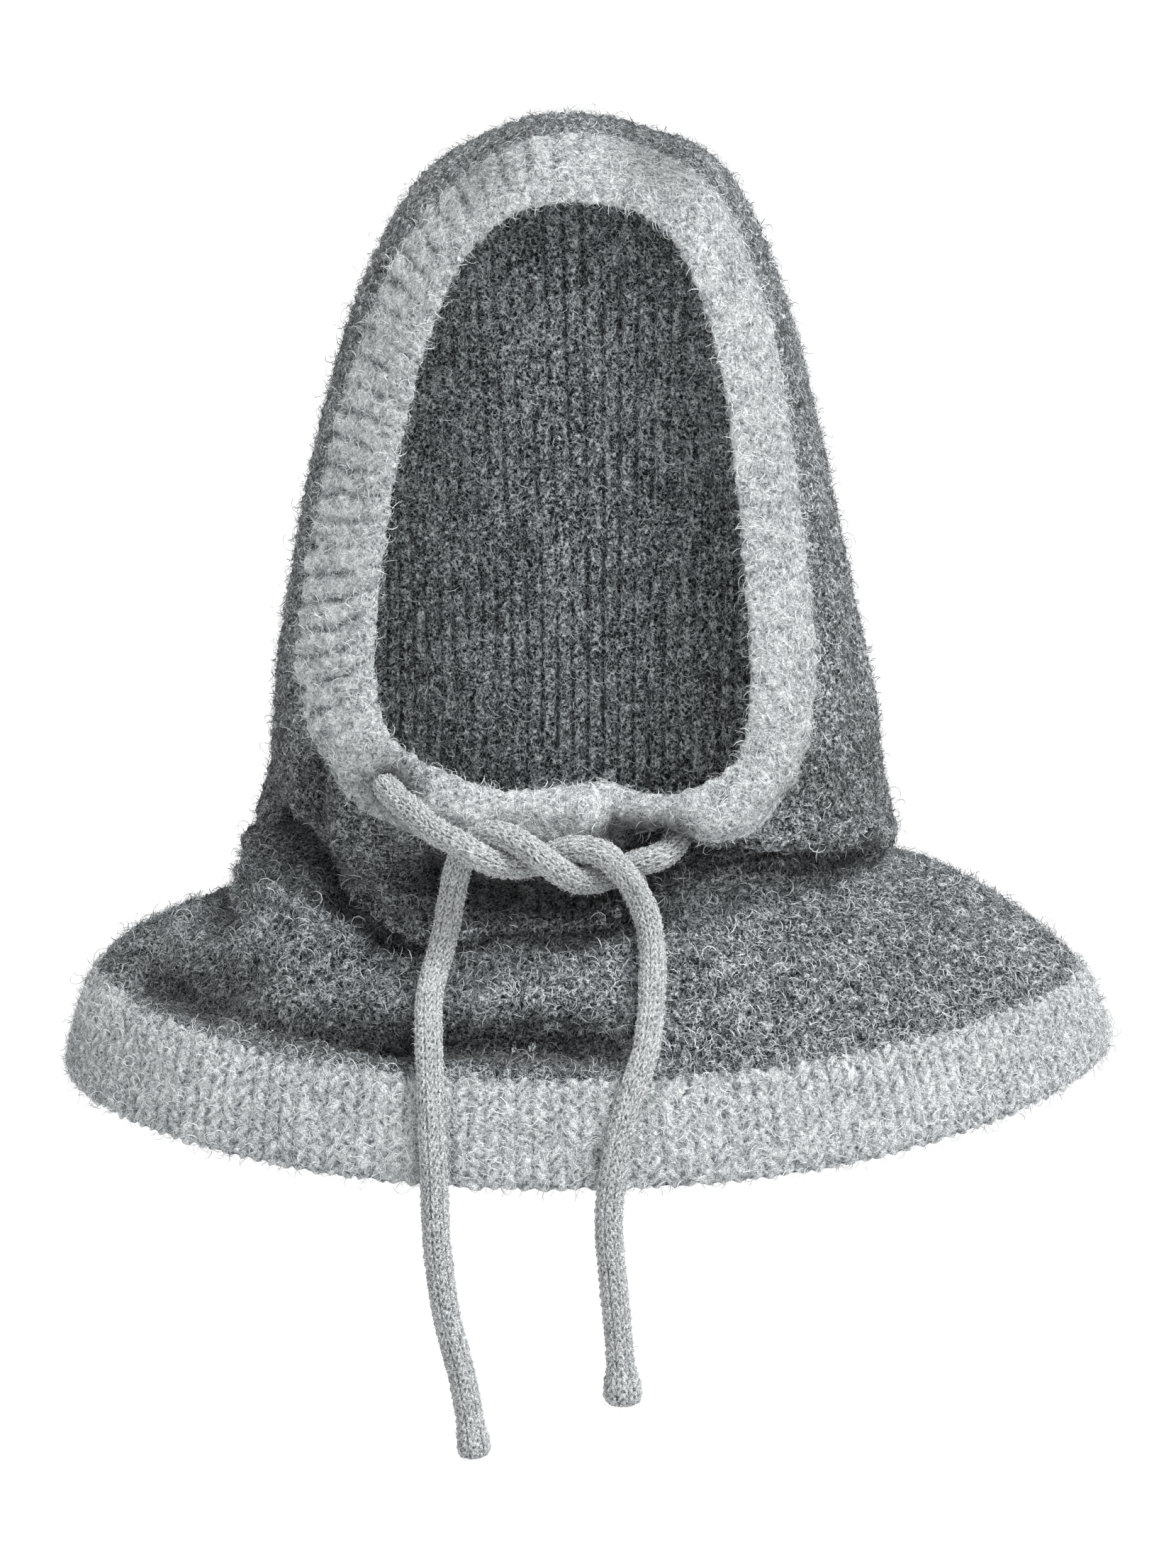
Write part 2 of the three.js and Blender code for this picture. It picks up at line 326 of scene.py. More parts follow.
@dataclass(frozen=True)
class BrushedWool:
    """A melange yarn: fibres of several greys, pale threads over dark gaps.

    The knit's hollows and stitch gaps take painted shade, and its raised yarn painted light.
    """

    name: str
    slot: str
    gap: tuple[float, float, float]
    body: tuple[float, float, float]
    tip: tuple[float, float, float]
    curl: float = 0.0021
    thread_share: float = 0.8
    fleck: float = 0.0012
    fleck_share: float = 1.6
    clump: float = 0.0034
    clump_share: float = 0.6
    relief_painted_shading: float = 0.7
    stitch_painted_shading_and_bump: float = 0.15
    level: float = 0.2
    nap_level: float = 0.5
    tone_share: float = 1.2
    sheen: float = 0.5
    bump: float = 0.0007
    patch: float = 0.022
    FAINT_SHARE, DARK_SHARE = 0.8, 0.45  # how strong the faint and the dark threads are
    PATCH_SHARE = 0.45  # how strong the wide patches are beside the clumps
    STITCH_MIDDLE = 0.6
    STITCH_LIFT, THREAD_LIFT, FLECK_LIFT = 0.3, 0.6, 0.8  # the parts of the bump

    @cache
    def material(self) -> bpy.types.Material:
        """Builds the knit's material once, from its relief, its flecks and loose threads; the
        relief and the stitches paint shade into its hollows and light onto its rises.

        Returns:
            The material.
        """
        made, bench, place = self._blank(self.name)
        knit = bench.add("ShaderNodeUVMap", {"uv_map": "knit"})
        split = bench.add("ShaderNodeSeparateXYZ", {}, {"Vector": knit.outputs[0]})
        stitch = stitch_height(Value(bench, split.outputs[0]), Value(bench, split.outputs[1]))
        pale, faint, wide, dark = (threads(bench, place, self.curl * size, width, turn)
                                   for size, width, turn in TANGLES)
        pale = pale.most(faint * self.FAINT_SHARE).most(wide)
        fleck = bench.noise(place, self.fleck, 2.0, detail=2.0, roughness=0.6, distortion=0.5)
        # Painted shade in the knit's hollows and painted light on its rises, from the relief.
        level = (self._read(bench, "relief") - 0.5) * self.relief_painted_shading
        level = self.level + level + self._clumps(bench, place)
        level = level + (fleck - 0.5) * self.fleck_share
        # Painted shade in the gaps of each stitch; the same share also raises the bump below.
        level = level + (stitch - self.STITCH_MIDDLE) * self.stitch_painted_shading_and_bump
        level = level + pale * self.thread_share - dark * (self.thread_share * self.DARK_SHARE)
        lift = stitch * (self.STITCH_LIFT + self.stitch_painted_shading_and_bump)
        lift = lift + pale * self.THREAD_LIFT + fleck * self.FLECK_LIFT
        bump = bench.add("ShaderNodeBump", {}, {
            "Strength": 1.0, "Distance": self.bump, "Height": lift})
        self._finish(bench, level, Normal=bump.outputs[0])
        return made

    @cache
    def nap_material(self) -> bpy.types.Material:
        """Builds the material of the loose fibres once, each fibre of its own grey, with painted
        shade and light from the knit under it and from its piece.

        Returns:
            The material.
        """
        made, bench, place = self._blank(f"{self.name}_nap")
        level = self.nap_level + (self._read(bench, "tone") - 0.5) * self.tone_share
        self._finish(bench, level + self._clumps(bench, place))
        return made

    @staticmethod
    def _blank(name: str) -> tuple[bpy.types.Material, Bench, Value]:
        """Starts an empty material.

        Args:
            name: the material's name.

        Returns:
            The material, its tree and the place on the piece.
        """
        made = bpy.data.materials.new(name)
        made.use_nodes = True
        made.node_tree.nodes.clear()
        bench = Bench(made.node_tree)
        return made, bench, bench.out("ShaderNodeTexCoord", name="Object")

    @staticmethod
    def _read(bench: Bench, name: str) -> Value:
        """Reads an attribute of the piece."""
        return bench.out("ShaderNodeAttribute", {"attribute_name": name}, name="Fac")

    def _clumps(self, bench: Bench, place: Value) -> Value:
        """Adds the drift between clumps of paler and darker fibres.

        Args:
            bench: the material's tree.
            place: the coordinates.

        Returns:
            What the clumps add to the level.
        """
        clump = bench.noise(place, self.clump, 7.0, detail=2.0, roughness=0.55)
        patch = bench.noise(place, self.patch, 3.0, detail=2.0, roughness=0.5)
        return (clump - 0.5) * self.clump_share + (patch - 0.5) * (
            self.clump_share * self.PATCH_SHARE)

    def _finish(self, bench: Bench, level: Value, **inputs: bpy.types.NodeSocket) -> None:
        """Turns a level of 0 to 1 into a grey, multiplies it by the piece's painted light and
        shade, and joins it to the shader.

        Args:
            bench: the material's tree.
            level: 0 for the gaps and 1 for the palest fibres.
            inputs: what else feeds the shader.
        """
        colour = bench.out("ShaderNodeValToRGB", {"stops": (
            (0.0, self.gap), (0.5, self.body), (1.0, self.tip))}, {"Fac": level}, "Color")
        # The piece's painted light and shade multiply the grey.
        shade = self._read(bench, "shade")
        grey = bench.out("ShaderNodeCombineXYZ", {}, {"X": shade, "Y": shade, "Z": shade})
        tinted = bench.out("ShaderNodeMix", {"data_type": "RGBA", "blend_type": "MULTIPLY"}, {
            "Factor": 1.0, "A": colour, "B": grey})
        shader = bench.add("ShaderNodeBsdfPrincipled", {}, {
            "Base Color": tinted, "Roughness": 0.95, "Sheen Weight": self.sheen,
            "Sheen Roughness": 0.4, "Specular IOR Level": 0.1, **inputs})
        bench.add("ShaderNodeOutputMaterial", {}, {"Surface": shader.outputs[0]})


LIGHT_WOOL = BrushedWool("light_wool", "light_wool", linear(90, 96, 101),
                         linear(198, 202, 204), linear(238, 241, 242), level=0.46,
                         nap_level=0.56, clump_share=0.5, thread_share=0.35,
                         relief_painted_shading=0.6, tone_share=0.9, stitch_painted_shading_and_bump=0.1, sheen=0.15)
HEM_WOOL = replace(LIGHT_WOOL, name="hem_wool", stitch_painted_shading_and_bump=0.3)
RIB_WOOL = replace(LIGHT_WOOL, name="rib_wool", relief_painted_shading=0.95, thread_share=0.45)
DARK_WOOL = BrushedWool("dark_wool", "dark_wool", linear(20, 23, 26), linear(124, 130, 133),
                        linear(222, 226, 229), clump_share=0.85, tone_share=1.0,
                        sheen=0.2)
CORD_WOOL = BrushedWool("cord_wool", "cord_wool", linear(84, 89, 94), linear(208, 212, 214),
                        linear(244, 246, 247), curl=0.0016, fleck=0.0011, level=0.52,
                        nap_level=0.6, tone_share=0.8, clump=0.003, clump_share=0.3,
                        fleck_share=1.3, thread_share=0.3, relief_painted_shading=0.8,
                        stitch_painted_shading_and_bump=0.45, sheen=0.15)


# Trees of geometry


class Strand(Enum):
    """The kinds of loose fibre."""

    WISP = "wisp"
    CURL = "curl"


@dataclass
class GeometryRecipe:
    """A tree of geometry with named inputs, applied to a mesh and baked."""

    name: str
    floats: dict[str, float] = field(default_factory=dict)
    SPARE = ()

    def __post_init__(self) -> None:
        """Makes the tree's sockets, then its nodes."""
        self.tree = bpy.data.node_groups.new(self.name, "GeometryNodeTree")
        face = self.tree.interface
        face.new_socket("Geometry", in_out="OUTPUT", socket_type="NodeSocketGeometry")
        kinds = {"Geometry": "Geometry", **dict.fromkeys(self.floats, "Float"),
                 "Seed": "Int", "Material": "Material"}
        for name, kind in kinds.items():
            face.new_socket(name, in_out="INPUT", socket_type=f"NodeSocket{kind}")
        self.bench = Bench(self.tree)
        self.given = self.bench.add("NodeGroupInput")
        shape = self.build()
        whole = self.bench.out("GeometryNodeRealizeInstances", {}, {"Geometry": shape})
        dressed = self.bench.out("GeometryNodeSetMaterial", {}, {
            "Geometry": whole, "Material": self.input("Material")})
        self.bench.add("NodeGroupOutput", {}, {"Geometry": dressed})

    def input(self, name: str) -> Value:
        """Gives the tree's own input of that name."""
        return Value(self.bench, pick(self.given.outputs, name))

    def attribute(self, name: str, kind: str = "FLOAT") -> Value:
        """Reads a named attribute of the mesh."""
        node = "GeometryNodeInputNamedAttribute"
        return self.bench.out(node, {"data_type": kind}, {"Name": name})

    def scaled(self, vector: Value, scale: Value) -> Value:
        """Makes a vector longer or shorter."""
        inputs = {"Vector": vector, "Scale": scale}
        return self.bench.out("ShaderNodeVectorMath", {"operation": "SCALE"}, inputs)

    def stored(self, shape: Value, domain: str, name: str, value: Value) -> Value:
        """Keeps a number for each point or instance of a shape under a name."""
        return self.bench.out("GeometryNodeStoreNamedAttribute", {
            "data_type": "FLOAT", "domain": domain}, {
                "Geometry": shape, "Name": name, "Value": value})

    def build(self) -> Value:
        """Makes the nodes between the input and the ending."""
        raise NotImplementedError

    def bake(self, base: bpy.types.Object, name: str, material: bpy.types.Material,
             seed: int, **floats: float) -> bpy.types.Object:
        """Runs the tree on a mesh and keeps the result as a plain mesh.

        Args:
            base: the object that carries the modifier meanwhile.
            name: the new piece's name.
            material: what the tree sets.
            seed: the seed of anything random.
            floats: values for the named inputs, with _ for a space.

        Returns:
            The new object, at the origin, with no modifier.
        """
        values = {**self.floats, **{k.replace("_", " ").title(): v for k, v in floats.items()}}
        values.update(Seed=seed, Material=material)
        modifier = base.modifiers.new(self.name, "NODES")
        modifier.node_group = self.tree
        for item in self.tree.interface.items_tree:
            if item.in_out == "INPUT" and item.name in values:
                modifier[item.identifier] = values[item.name]
        base.update_tag()
        view = bpy.context.evaluated_depsgraph_get()
        mesh = bpy.data.meshes.new_from_object(base.evaluated_get(view))
        base.modifiers.remove(modifier)
        mesh.name = name
        for spare in [a.name for a in mesh.attributes if a.name in self.SPARE]:
            mesh.attributes.remove(mesh.attributes[spare])
        return put(name, mesh)


class KnitRelief(GeometryRecipe):
    """Raises stitches, ribs and tufts along the normals of a knitted skin."""

    RIB_POWER = 0.6  # how flat a rib's top is
    RIB_REACH, RIB_LEAST, RIB_GAIN = (0.28, 0.72), 0.25, 1.3  # how patchy the ribs are
    TUFT_REACH = (0.1, 0.75)
    STITCH_LEVEL, RIB_LEVEL = 0.55, 0.7  # the part of each that stays where the skin is
    SWELL_SHARE = 0.8
    COURSE_UNEVEN = 2.0  # how much more uneven the courses are than the wales
    RIB_RANGE, TUFT_RANGE, ROUGH_RANGE = 0.8, 1.3, 0.4  # of each depth, for the finish
    # The lumps' sizes in metres, each with what turns its noise as the seed changes.
    WALE_LUMPS, COURSE_LUMPS, RIB_LUMPS = (0.007, 5.3), (0.006, 7.9), (0.014, 2.3)
    SWELL_LUMPS, ROUGH_LUMPS = (0.011, 3.1, 2.0), (0.0016, 1.7)

    def build(self) -> Value:
        """Adds the heights up, moves the points and keeps the height for the finish, which paints
        shade into the knit's hollows and light onto its rises.

        Returns:
            The shape with its relief.
        """
        bench = self.bench
        place = bench.out("GeometryNodeInputPosition")
        uneven = self.input("Unevenness")
        wale = self.attribute("wale") + (self._lumps(place, *self.WALE_LUMPS) - 0.5) * uneven
        slip = (self._lumps(place, *self.COURSE_LUMPS) - 0.5) * (uneven * self.COURSE_UNEVEN)
        stitch = stitch_height(wale, self.attribute("course") + slip)
        rib = abs((wale * math.pi).sine()) ** self.RIB_POWER
        patchy = self._lumps(place, *self.RIB_LUMPS).between(*self.RIB_REACH)
        tuft = 1 - self._cells(place).between(*self.TUFT_REACH)
        swell = self._lumps(place, *self.SWELL_LUMPS)
        rough = self._lumps(place, *self.ROUGH_LUMPS)
        stitch_depth, rib_depth, tuft_depth, rough_depth = (
            self.input(f"{name} Depth") for name in ("Stitch", "Rib", "Tuft", "Rough"))
        ribbed = rib_depth * self.attribute("rib") * (patchy * self.RIB_GAIN + self.RIB_LEAST)
        height = ((stitch - self.STITCH_LEVEL) * stitch_depth + (rib - self.RIB_LEVEL) * ribbed
                  + (tuft - 0.5) * tuft_depth + (rough - 0.5) * rough_depth
                  + (swell - 0.5) * (tuft_depth * self.SWELL_SHARE))
        height = height * self.attribute("loft")
        whole = (stitch_depth + rib_depth * self.RIB_RANGE + tuft_depth * self.TUFT_RANGE
                 + rough_depth * self.ROUGH_RANGE)
        share = (height / whole + 0.5).least(1.0).most(0.0)
        kept = self.stored(self.input("Geometry"), "POINT", "relief", share)
        push = self.scaled(bench.out("GeometryNodeInputNormal"), height)
        return bench.out("GeometryNodeSetPosition", {}, {"Geometry": kept, "Offset": push})

    def _lumps(self, place: Value, size: float, turn: float, detail: float = 1.0) -> Value:
        """Adds soft lumps of a size in metres, which the seed and the turn pick."""
        turned = self.input("Seed") * turn
        return self.bench.noise(place, size, turned, detail=detail, roughness=0.5)

    def _cells(self, place: Value) -> Value:
        """Adds the cells that the tufts follow, by the distance from each one's middle."""
        return self.bench.out("ShaderNodeTexVoronoi", {
            "feature": "SMOOTH_F1", "voronoi_dimensions": "4D"}, {
                "Vector": place, "W": self.input("Seed"), "Smoothness": 0.6,
                "Scale": 1.0 / self.input("Tuft Size"), "Randomness": 0.85}, "Distance")


class BrushedNap(GeometryRecipe):
    """Scatters loose fibres over a knitted skin, lying over it in all directions."""

    SPARE = ("knit", "OFBake", "wale", "course", "loft", "rib", "nap", "comb", "relief")
    FLYAWAY_POWER = 7.0  # the higher, the fewer fibres stand up
    ROLL = 0.9  # how far a fibre rolls around itself each way, in radians
    LENGTHS, BENDS = (0.5, 1.4), (0.4, 1.6)  # the least and the most, of the whole
    RELIEF_TONE = 0.5  # painted shading: how much paler the fibres on raised knit are, and darker in its hollows
    MARGIN = 0.1  # around a fibre in its cell of the map

    def __init__(self, name: str, strand: bpy.types.Object, **floats: float) -> None:
        """Keeps the strand that is repeated, then makes the tree."""
        self.strand = strand
        super().__init__(name, dict(floats))

    def random(self, low: float, high: float, salt: int) -> Value:
        """Adds a random number between two, with a seed of its own."""
        return self.bench.out("FunctionNodeRandomValue", {"data_type": "FLOAT"}, {
            "Min": low, "Max": high, "Seed": self.input("Seed") + float(salt)})

    def build(self) -> Value:
        """Scatters the points, turns a strand at each and gives it a tone.

        Returns:
            The fibres.
        """
        bench = self.bench
        scatter = bench.add("GeometryNodeDistributePointsOnFaces", {
            "distribute_method": "RANDOM"}, {
                "Mesh": self.input("Geometry"), "Seed": self.input("Seed"),
                "Density": self.input("Density") * self.attribute("nap")})
        normal = Value(bench, pick(scatter.outputs, "Normal"))
        any_way = bench.out("FunctionNodeRandomValue", {"data_type": "FLOAT_VECTOR"}, {
            "Min": (-1.0, -1.0, -1.0), "Max": (1.0, 1.0, 1.0),
            "Seed": self.input("Seed") + 11.0})
        combed = self.vector("ADD", any_way, self.attribute("comb", "FLOAT_VECTOR"))
        across = self.vector("NORMALIZE", self.vector("CROSS_PRODUCT", combed, normal))
        flyaway = self.random(0.0, 1.0, 12) ** self.FLYAWAY_POWER
        lift = self.input("Lift") + flyaway * self.input("Flyaway")
        way = self.vector("NORMALIZE", self.vector("ADD", across, self.scaled(normal, lift)))
        turned = self.align("Y", "Z", normal, self.align("Z", "AUTO", way))
        roll = bench.out("FunctionNodeAxisAngleToRotation", {}, {
            "Axis": (0.0, 0.0, 1.0), "Angle": self.random(-self.ROLL, self.ROLL, 13)})
        turned = bench.out("FunctionNodeRotateRotation", {"rotation_space": "LOCAL"}, {
            "Rotation": turned, "Rotate By": roll})
        length = self.input("Length") * self.random(*self.LENGTHS, 14)
        size = bench.out("ShaderNodeCombineXYZ", {}, {
            "X": length, "Y": length * self.random(*self.BENDS, 15), "Z": length})
        strand = bench.out("GeometryNodeObjectInfo", {"transform_space": "ORIGINAL"}, {
            "Object": self.strand}, "Geometry")
        placed = bench.out("GeometryNodeInstanceOnPoints", {}, {
            "Points": pick(scatter.outputs, "Points"), "Instance": strand,
            "Rotation": turned, "Scale": size})
        # Each fibre's random grey, with painted shading from the height of the knit at its root.
        tone = self.random(0.0, 1.0, 16) + (
            self.attribute("relief") - 0.5) * self.RELIEF_TONE
        return self.stored(placed, "INSTANCE", "tone", tone + self.input("Tone"))

    def spread_map(self, fibres: bpy.types.Object) -> None:
        """Gives each fibre a cell of its own in the OFBake map.

        Args:
            fibres: the baked fibres.
        """
        mesh, strand = fibres.data, self.strand.data
        each = len(strand.vertices)
        corners = read(mesh.loops, "vertex_index", np.int32)
        flat = read(strand.vertices, "co", width=3).reshape(-1, 3)[:, [0, 2]]
        flat = (flat - flat.min(axis=0)) / np.ptp(flat, axis=0)
        flat = flat * (1 - 2 * self.MARGIN) + self.MARGIN
        side = math.ceil(math.sqrt(len(mesh.vertices) / each))
        fibre = corners // each
        cell = np.stack([fibre % side, fibre // side], axis=1)
        layer = mesh.uv_layers.new(name="OFBake")
        write(layer.data, "uv", (cell + flat[corners % each]) / side)

    def vector(self, operation: str, *operands: Value) -> Value:
        """Adds one Vector Math node."""
        settings = {"operation": operation}
        return self.bench.out("ShaderNodeVectorMath", settings, dict(enumerate(operands)))

    def align(self, axis: str, pivot: str, way: Value, turned: Value | None = None) -> Value:
        """Turns an axis towards a direction, from an earlier turn if there is one."""
        inputs = {"Vector": way} if turned is None else {"Vector": way, "Rotation": turned}
        settings = {"axis": axis, "pivot_axis": pivot}
        return self.bench.out("FunctionNodeAlignRotationToVector", settings, inputs)


# The garment's form


@dataclass(frozen=True)
class Loop:
    """One loop of the garment, in millimetres, as in the solids' own table."""

    name: str
    left: float
    left_z: float
    right: float
    right_z: float
    side_y: float
    top_x: float
    top_y: float
    top_z: float
    bottom_x: float
    bottom_y: float
    bottom_z: float
    taper: float
    square_top: float
    square_left: float
    square_right: float

    def points(self, count: int) -> np.ndarray:
        """Points at equal distances, from the top, by +X, the bottom and -X.

        Args:
            count: how many points.

        Returns:
            An array of count by 3.
        """
        turn = np.linspace(0.0, 2 * math.pi, count * 4 + 1)
        cos, sin = np.cos(turn), np.sin(turn)
        corner = np.where(sin > 0, self.square_right, self.square_left)
        power = np.where(cos > 0, self.square_top, corner)
        reach = (np.abs(cos) ** power + np.abs(sin) ** power) ** (-1 / power)
        up, across = cos * reach, sin * reach
        middle, half = (self.left + self.right) / 2, (self.right - self.left) / 2
        end_x = np.where(up > 0, self.top_x, self.bottom_x)
        side_z = self.left_z + (self.right_z - self.left_z) * (across + 1) / 2
        x = middle + (end_x - middle) * up**2
        x = x + half * across * (1 - self.taper * np.maximum(up, 0))
        dense = np.stack([x, self._bend(self.side_y, self.top_y, self.bottom_y, up),
                          self._bend(side_z, self.top_z, self.bottom_z, up)], axis=1)
        along = distances(dense)
        return spaced(dense, along, along[-1] * np.arange(count) / count)

    @staticmethod
    def _bend(side: object, top: float, bottom: float, up: np.ndarray) -> np.ndarray:
        """A coordinate that is bottom, side and top where up is -1, 0 and 1."""
        return side + (top - bottom) / 2 * up + ((top + bottom) / 2 - side) * up**2


LOOPS = (
    Loop("face_edge", -76, -186, 59, -186, -88, -4, -86, -29, -8, -92, -240, 0.13, 3.2, 2.1, 2.7),
    Loop("band_mid", -92, -188, 74, -188, -80, -3, -73, -12, -8, -100, -253, 0.16, 3.15, 2.1, 2.5),
    Loop("band_seam", -107, -189, 87, -190, -66, -2, -55, -4, -8, -93, -264, 0.185, 3.1, 2, 2.25),
    Loop("brow", -113, -190, 95, -194, -50, -4, -24, 1, -6, -88, -268, 0.20, 3.2, 2.3, 2.5),
    Loop("crown_fore", -115, -194, 99, -198, -34, -4, 20, 2, -5, -85, -270, 0.205, 3.25, 2.5, 2.7),
    Loop("crown_back", -117, -202, 104, -204, -20, -3, 64, -17, -4, -83, -271, 0.205, 3, 2.6, 2.8),
    Loop("head_back", -118, -212, 108, -214, -9, -2, 91, -62, -3, -82, -272, 0.19, 2.6, 2.7, 2.8),
    Loop("nape_top", -119, -222, 110, -224, -2, -1, 97, -116, -2, -82, -273, 0.15, 2.4, 2.6, 2.7),
    Loop("nape", -120, -234, 111, -238, 1, 0, 91, -172, -2, -82, -274, 0.10, 2.3, 2.5, 2.6),
    Loop("neck", -122, -249, 114, -253, 2, 0, 82, -226, -2, -82, -275, 0.05, 2.3, 2.4, 2.5),
    Loop("neck_puff", -127, -262, 118, -268, 2, 0, 82, -262, -2, -83, -277, 0, 2.2, 2.4, 2.5),
    Loop("neck_crease", -123, -271, 111, -277, 2, 0, 76, -277, -2, -76, -282, 0, 2.2, 2.3, 2.4),
    Loop("shoulder", -134, -290, 129, -280, 4, 0, 96, -290, -2, -89, -294, 0, 2.2, 2.2, 2.3),
    Loop("yoke", -173, -304, 171, -303, 4, 0, 126, -324, 0, -110, -318, 0, 2.2, 2.2, 2.2),
    Loop("hem_seam", -188, -318, 188, -319, 0, 0, 139, -350, -12, -127, -342, 0, 2.2, 2.2, 2.2),
    Loop("hem_edge", -199, -360, 199, -351, 0, 0, 147, -390, -10, -137, -381, 0, 2.2, 2.2, 2.2),
)


@dataclass(frozen=True)
class Sag:
    """A place around the neck crease that hangs lower than the rest."""

    x: float
    y: float
    drop: float
    reach: float


@dataclass(frozen=True)
class Fold:
    """A ridge or a valley along a line, in millimetres.

    The line has places in space, or places as the camera sees them: across and up.
    """

    name: str
    height: float
    width: float
    along: tuple[tuple[float, ...], ...]
    upper_width: float | None = None  # the width above the line, where it differs

    def rise(self, points: np.ndarray) -> np.ndarray:
        """Works out how far the fold lifts points off the skin.

        Args:
            points: the points.

        Returns:
            The lift of each.
        """
        near = np.full(points.shape[:-1], np.inf)
        width = np.full(points.shape[:-1], self.width)
        steep = self.upper_width or self.width
        for a, b in zip(np.array(self.along[:-1], float), np.array(self.along[1:], float)):
            way = b - a
            share = np.clip((points - a) @ way / (way @ way), 0, 1)
            gap = points - a - share[..., None] * way
            away = np.linalg.norm(gap, axis=-1)
            above = way[0] * gap[..., 2] - way[2] * gap[..., 0] > 0
            width = np.where(away < near, np.where(above, steep, self.width), width)
            near = np.minimum(near, away)
        return self.height * np.exp(-((near / width) ** 2))


@dataclass(frozen=True)
class Lift:
    """A place along the lower lip of the face opening that stands higher or lower."""

    x: float
    height: float
    reach: float
    LOW = (-205, -232)  # from where to where, in z, the lip is the lower one

    def rise(self, points: np.ndarray) -> np.ndarray:
        """How far the lip rises at each point, before it fades away from the edge."""
        share = smoothstep(*self.LOW, points[..., 2]) * (points[..., 1] < 0)
        return self.height * np.exp(-(((points[..., 0] - self.x) / self.reach) ** 2)) * share


SAGS = (Sag(-62, -86, 26, 40),)
# The folds that the solids have too.
FOLDS = (
    Fold("left_roll", 9, 16, ((-134, -10, -290), (-108, -56, -300), (-76, -84, -307),
                              (-40, -92, -304), (5, -94, -300))),
    Fold("left_crease", -5, 8, ((-118, -36, -268), (-104, -58, -278), (-88, -78, -290))),
    Fold("front_valley", -7, 12, ((-132, -64, -318), (-98, -92, -326), (-55, -108, -330),
                                  (-5, -114, -332))),
    Fold("band_pinch", -9, 11, ((18, -95, -263), (32, -95, -262))),
    Fold("left_exit", -8, 10.5, ((-74, -92, -241), (-72, -93, -243))),
)

# The smaller folds, on the dressed garment alone: places of three numbers are in space, and
# places of two are as the camera sees them.
DRAPE = (
    Fold("crown_left", -3.8, 21, ((-44, -70, -12), (-44, -30, -2), (-44, 20, 0), (-44, 60, -12))),
    Fold("crown_right", -4.2, 19, ((27, -70, -12), (27, -30, 0), (27, 20, 2), (27, 60, -12))),
    Fold("shoulder_left", -6, 22, ((-140, 20, -291), (-151, 24, -297), (-162, 22, -301),
                                   (-174, 16, -306), (-185, 8, -316))),
    Fold("shoulder_right", -4.5, 20, ((123, 20, -280), (142, 18, -286), (163, 18, -298),
                                      (183, 12, -314))),
    Fold("roll_crest", 8.5, 12, ((-125, -24), (-119, -32), (-114, -42), (-105, -54),
                                 (-92, -64)), 6),
    Fold("roll_crease", -15, 6.5, ((-123, -11), (-117, -17), (-111, -25), (-105, -35),
                                   (-99, -44), (-92, -52), (-81, -59), (-67, -63))),
    Fold("roll_notch", -11, 7, ((-138, -39), (-139, -45), (-136, -51))),
    Fold("shelf", 6, 11, ((-73, -70), (-51, -69), (-24, -67), (6, -67), (33, -66), (49, -65)), 4.5),
    Fold("chin", -13, 13, ((-60, -41), (-35, -46), (-11, -48), (13, -46)), 11),
    Fold("valley", -10, 9, ((-170, -71), (-156, -77), (-143, -83), (-121, -88), (-102, -91),
                            (-77, -93), (-48, -92), (-21, -93), (8, -96))),
    Fold("left_dip", -7, 14, ((-173, -63), (-153, -66), (-135, -69))),
    Fold("side_hollow", -7, 8, ((-106, 4), (-108, -8), (-108, -18))),
    Fold("valley_pit", -5, 7, ((-92, -92), (-73, -94))),
    Fold("overhang", 6, 8, ((70, -22), (87, -21), (108, -18))),
    Fold("overhang_crease", -13, 5, ((23, -32), (46, -32), (68, -31), (92, -29), (112, -27))),
    Fold("gather_pocket", -6.5, 8, ((9, -20), (18, -22), (27, -23))),
    Fold("lip_hollow", -2, 5, ((-36, -14), (-20, -17), (-4, -18))),
    Fold("gather_ridge", 3.5, 5, ((0, -4), (1, -17))),
    Fold("exit_rim", 3, 6, ((42, -21), (51, -19), (61, -18))),
)
LIFTS = (Lift(-57, 3.5, 14), Lift(4, 2.6, 12), Lift(-27, -1.8, 14), Lift(29, -3.4, 13))

# What the dressed garment's loops have otherwise than the solids' loops.
BULGE = {
    "face_edge": {"left": -79, "right": 60, "top_z": -26.5, "bottom_z": -239},
    "band_seam": {"right": 84},
    "neck_puff": {"left": -126},
    "neck_crease": {"left": -124, "left_z": -276},
    "shoulder": {"left": -131, "left_z": -289},
}
# Between the strands the chin's hollow reaches further down than in the solids.
CHIN_SAG = Sag(-2, -86, 16, 28)


